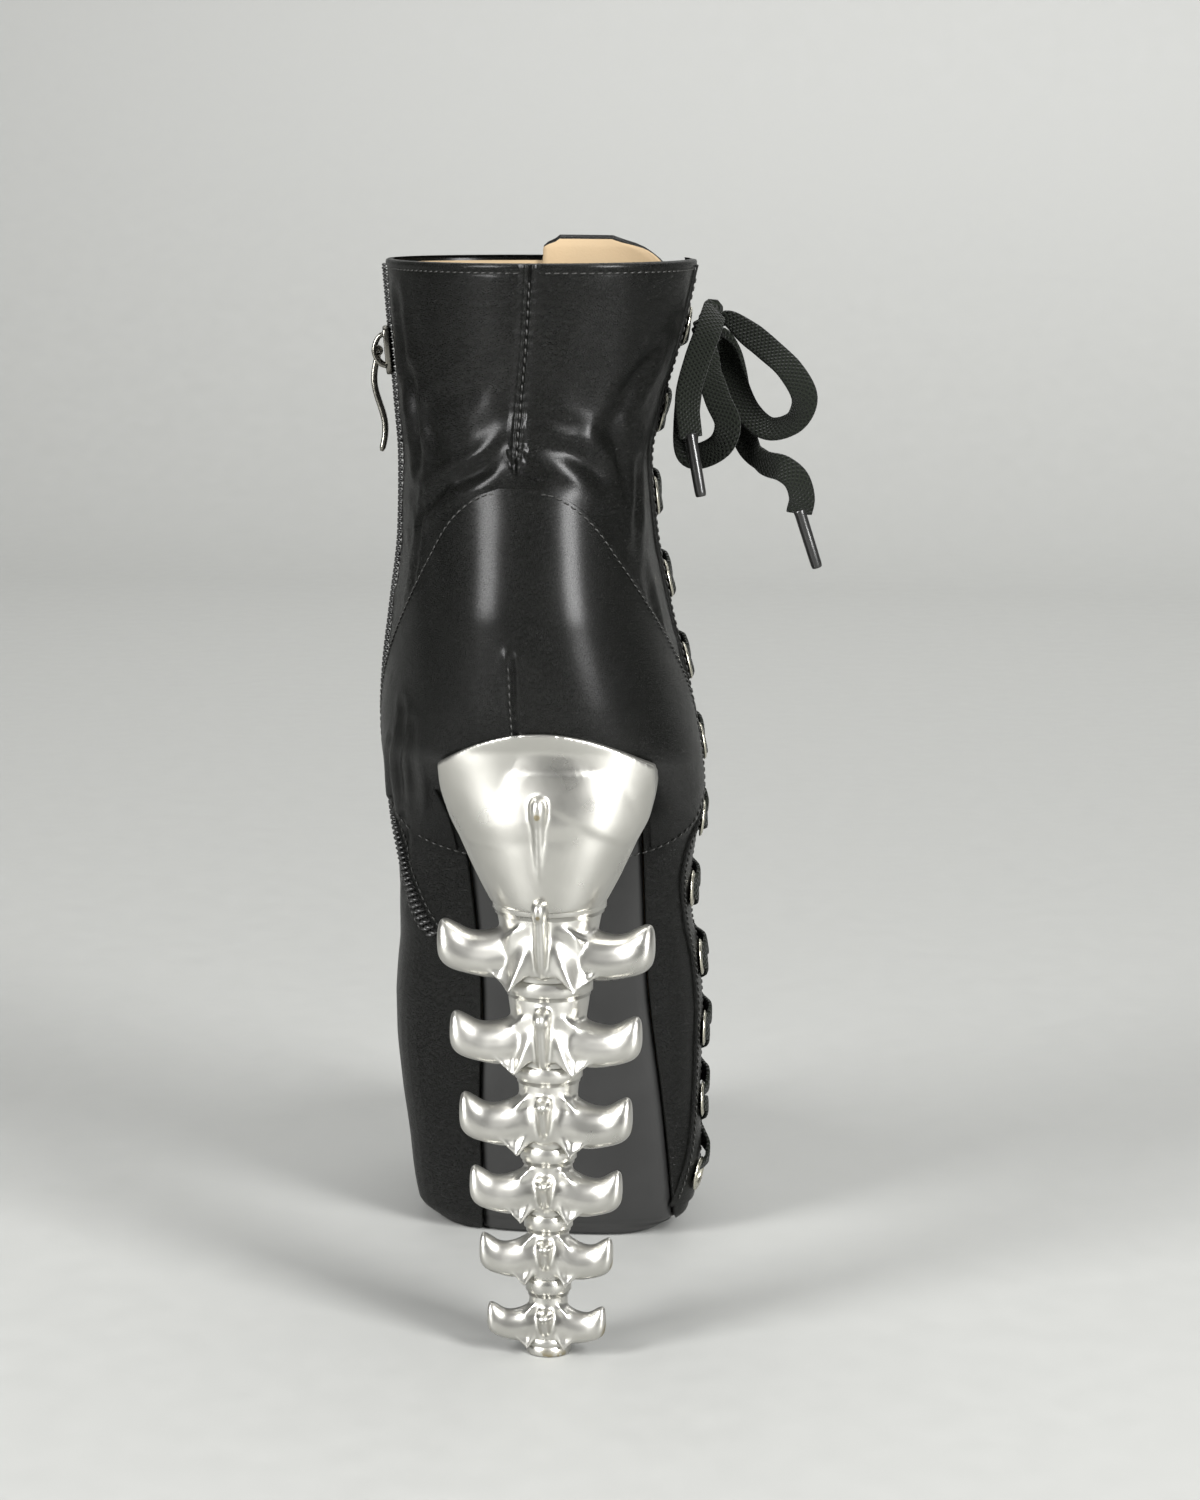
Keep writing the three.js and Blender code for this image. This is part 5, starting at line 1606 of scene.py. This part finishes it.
def make_slider():
    plate, faces = rounded_plate(8.6, 13, 0.9, 2.6, 2.2)
    plate[:, 0] *= 1 - 0.32 * soft_step(-plate[:, 1], 0, 6.5)
    shapes = [(plate, faces)]
    for side in (-1, 1):
        arch = [(4.4, 2.2), (3.6, 3.9), (1.2, 5.2), (-1.2, 5.2), (-3.4, 3.9), (-4.2, 2.2)]
        shapes.append(tube(dense_line([(side * 3.25, y, z) for y, z in arch], 0.5), 0.62))
    shapes.append(tube(np.linspace((-3.4, 0, PIN_OUT), (3.4, 0, PIN_OUT), 12), 0.6))
    put_at_slider("slider_body", shapes, "zip_slider", "boot")


def make_pull():
    """S-shaped pull: an eye round the pin, a slim neck, and a blade that widens to its foot."""
    t = np.linspace(0, 1, 60)
    out = PIN_OUT + 1.2 * (np.sin(t * 2 * np.pi) + t)
    line = np.stack([np.zeros(60), -1.28 - t * 25.4, out], -1)
    run = unit(np.gradient(line, axis=0))
    normal = np.stack([np.zeros(60), run[:, 2], -run[:, 1]], -1)
    half = 1.55 + 0.85 * soft_step(t, 0.1, 0.9) - 0.9 * soft_step(t, 0.965, 1) ** 2
    thick = 0.85 - 0.35 * soft_step(t, 0.96, 1)
    blade = loft(swept(line, np.array([1.0, 0, 0]), normal, half, thick, circle(20, 0.6, 0.6)))
    hole, rim = 0.72, 1.5
    profile = [
        (hole, -1.9), (rim - 0.15, -2.1), (rim, -1.9), (rim, 1.9), (rim - 0.15, 2.1), (hole, 1.9),
        (hole, -1.9),
    ]
    rings = [ring[:, [2, 0, 1]] + (0, 0, PIN_OUT) for ring in lathe(profile, 28)]
    put_at_slider("pull_tab", [blade, loft(rings, ends=False)], "zip_pull", "zip_pull")


# Eyelets and the lace through them

EYELET_PROFILE = [
    (EYELET_HOLE, -1.9), (3.3, -1.9), (3.3, EYELET_SEAT - 0.1), (EYELET_RADIUS - 0.1, EYELET_SEAT - 0.1),
    (EYELET_RADIUS, EYELET_SEAT + 0.1), (EYELET_RADIUS - 0.25, EYELET_SEAT + 0.42),
    (EYELET_RADIUS - 0.9, EYELET_SEAT + 0.68), (EYELET_HOLE + 0.9, EYELET_SEAT + 0.66),
    (EYELET_HOLE + 0.25, EYELET_SEAT + 0.35), (EYELET_HOLE, EYELET_SEAT - 0.3), (EYELET_HOLE, -1.9),
]


EYELET_ROWS = np.linspace(LOWEST_EYELET, HIGHEST_EYELET, EYELET_COUNT)


def make_eyelets():
    shape = loft(lathe(EYELET_PROFILE, 28), ends=False)
    for index, z in enumerate(EYELET_ROWS):
        for row, turn in (("outer", row_turn(z)), ("front", other_row_turn(z))):
            name = f"eyelet_{row}_{index + 1:02d}"
            piece = put(name + "_ring", shape, nickel, "eyelet_nickel", name)
            piece.data.transform(place_matrix(z, turn))


# Height of the lace's middle over the last, by its distance from the eyelet's centre
LACE_RISE = [
    (0, -0.7), (1.5, 0.6), (3, 2.1), (4.6, 2.75), (6.2, 2.3), (8.5, 1.75), (11, 0.5), (14, -0.5), (18, -0.8),
]


def lace_over(start, end, lift):
    """One stretch of lace, up out of an eyelet, across the tongue and down into the next."""
    t = np.linspace(0, 1, 60)
    z = start[0] + (end[0] - start[0]) * t
    turn = start[1] + (end[1] - start[1]) * t
    point, _, _, normal = surface_frame(z, turn)
    lengths = lengths_along(point)
    near = np.minimum(lengths, lengths[-1] - lengths)
    out = np.interp(near, *zip(*LACE_RISE)) + lift * soft_step(near, 3, 9)
    line = dense_line((point + normal * out[:, None])[::2], 0.9)
    along = lengths_along(line)
    facing = np.stack([np.interp(along / along[-1], t, normal[:, k]) for k in range(3)], -1)
    near = np.minimum(along, along[-1] - along)
    widths = LACE_WIDTH * (0.62 + 0.34 * soft_step(near, 3, 9))
    return lace_ribbon(line, facing, widths)


def make_lacing():
    strips = []
    for low, high in zip(EYELET_ROWS, EYELET_ROWS[1:]):
        strips.append(lace_over((low, row_turn(low)), (high, other_row_turn(high)), LACE_THICKNESS))
        strips.append(lace_over((high, row_turn(high)), (low, other_row_turn(low)), 0))
    put_ribbon("lacing_ribbon", strips, "lace_crossings")


for make in (
    make_upper, make_lining, make_counter, make_facings, make_back_stay, make_stitches, make_tongue,
    make_sole, make_footbed, make_cap, make_column, make_bands, make_heel_tip, make_zip_cloth, make_coil,
    make_slider, make_pull, make_eyelets, make_lacing,
):
    make()


# Stage and light

FLOOR_FRONT = -2.2
WALL_START = 1.6
BEND_RADIUS = 0.7
WALL_TOP = 3.2
STAGE_HALF = 3
floor_grey = plain("floor_grey", (0.235, 0.237, 0.228), (0.255, 0.257, 0.247), 0.6, 300, 0)


def make_stage():
    """Pale floor that curves up into the backdrop, in metres."""
    profile = [(FLOOR_FRONT, 0), (WALL_START, 0)]
    for a in np.radians(np.linspace(7.5, 90, 12)):
        profile.append((WALL_START + BEND_RADIUS * math.sin(a), BEND_RADIUS * (1 - math.cos(a))))
    profile.append((WALL_START + BEND_RADIUS, WALL_TOP))
    points = [(x, y, z) for y, z in profile for x in (-STAGE_HALF, STAGE_HALF)]
    make_object("stage_floor", np.array(points) / MM, grid_faces(len(profile), 2), [floor_grey])


def area_light(name, place, target, size, power):
    data = bpy.data.lights.new(name, "AREA")
    data.shape = "RECTANGLE"
    data.size, data.size_y = size
    data.energy = power
    light = bpy.data.objects.new(name, data)
    light.location = place
    way = Vector(target) - Vector(place)
    light.rotation_euler = way.to_track_quat("-Z", "Y").to_euler()
    bpy.context.scene.collection.objects.link(light)


def make_lights():
    area_light("left_box", (-0.9, -0.95, 0.75), (0, 0, 0.17), (0.45, 1.1), 50)
    area_light("right_box", (1.05, -0.85, 0.75), (0, 0, 0.17), (0.4, 1.1), 66)
    area_light("top_box", (0.1, 0.3, 1.7), (0, 0.05, 0.1), (1.8, 1.2), 12)
    area_light("back_wash", (0.2, 1.1, 1.9), (0, 2.3, 0.9), (3.0, 0.6), 78)
    world = bpy.data.worlds.new("studio")
    world.use_nodes = True
    background = world.node_tree.nodes["Background"]
    background.inputs["Color"].default_value = (0.8, 0.82, 0.8, 1)
    background.inputs["Strength"].default_value = 0.06
    bpy.context.scene.world = world
    bpy.context.scene.view_settings.view_transform = "Standard"


make_stage()
make_lights()
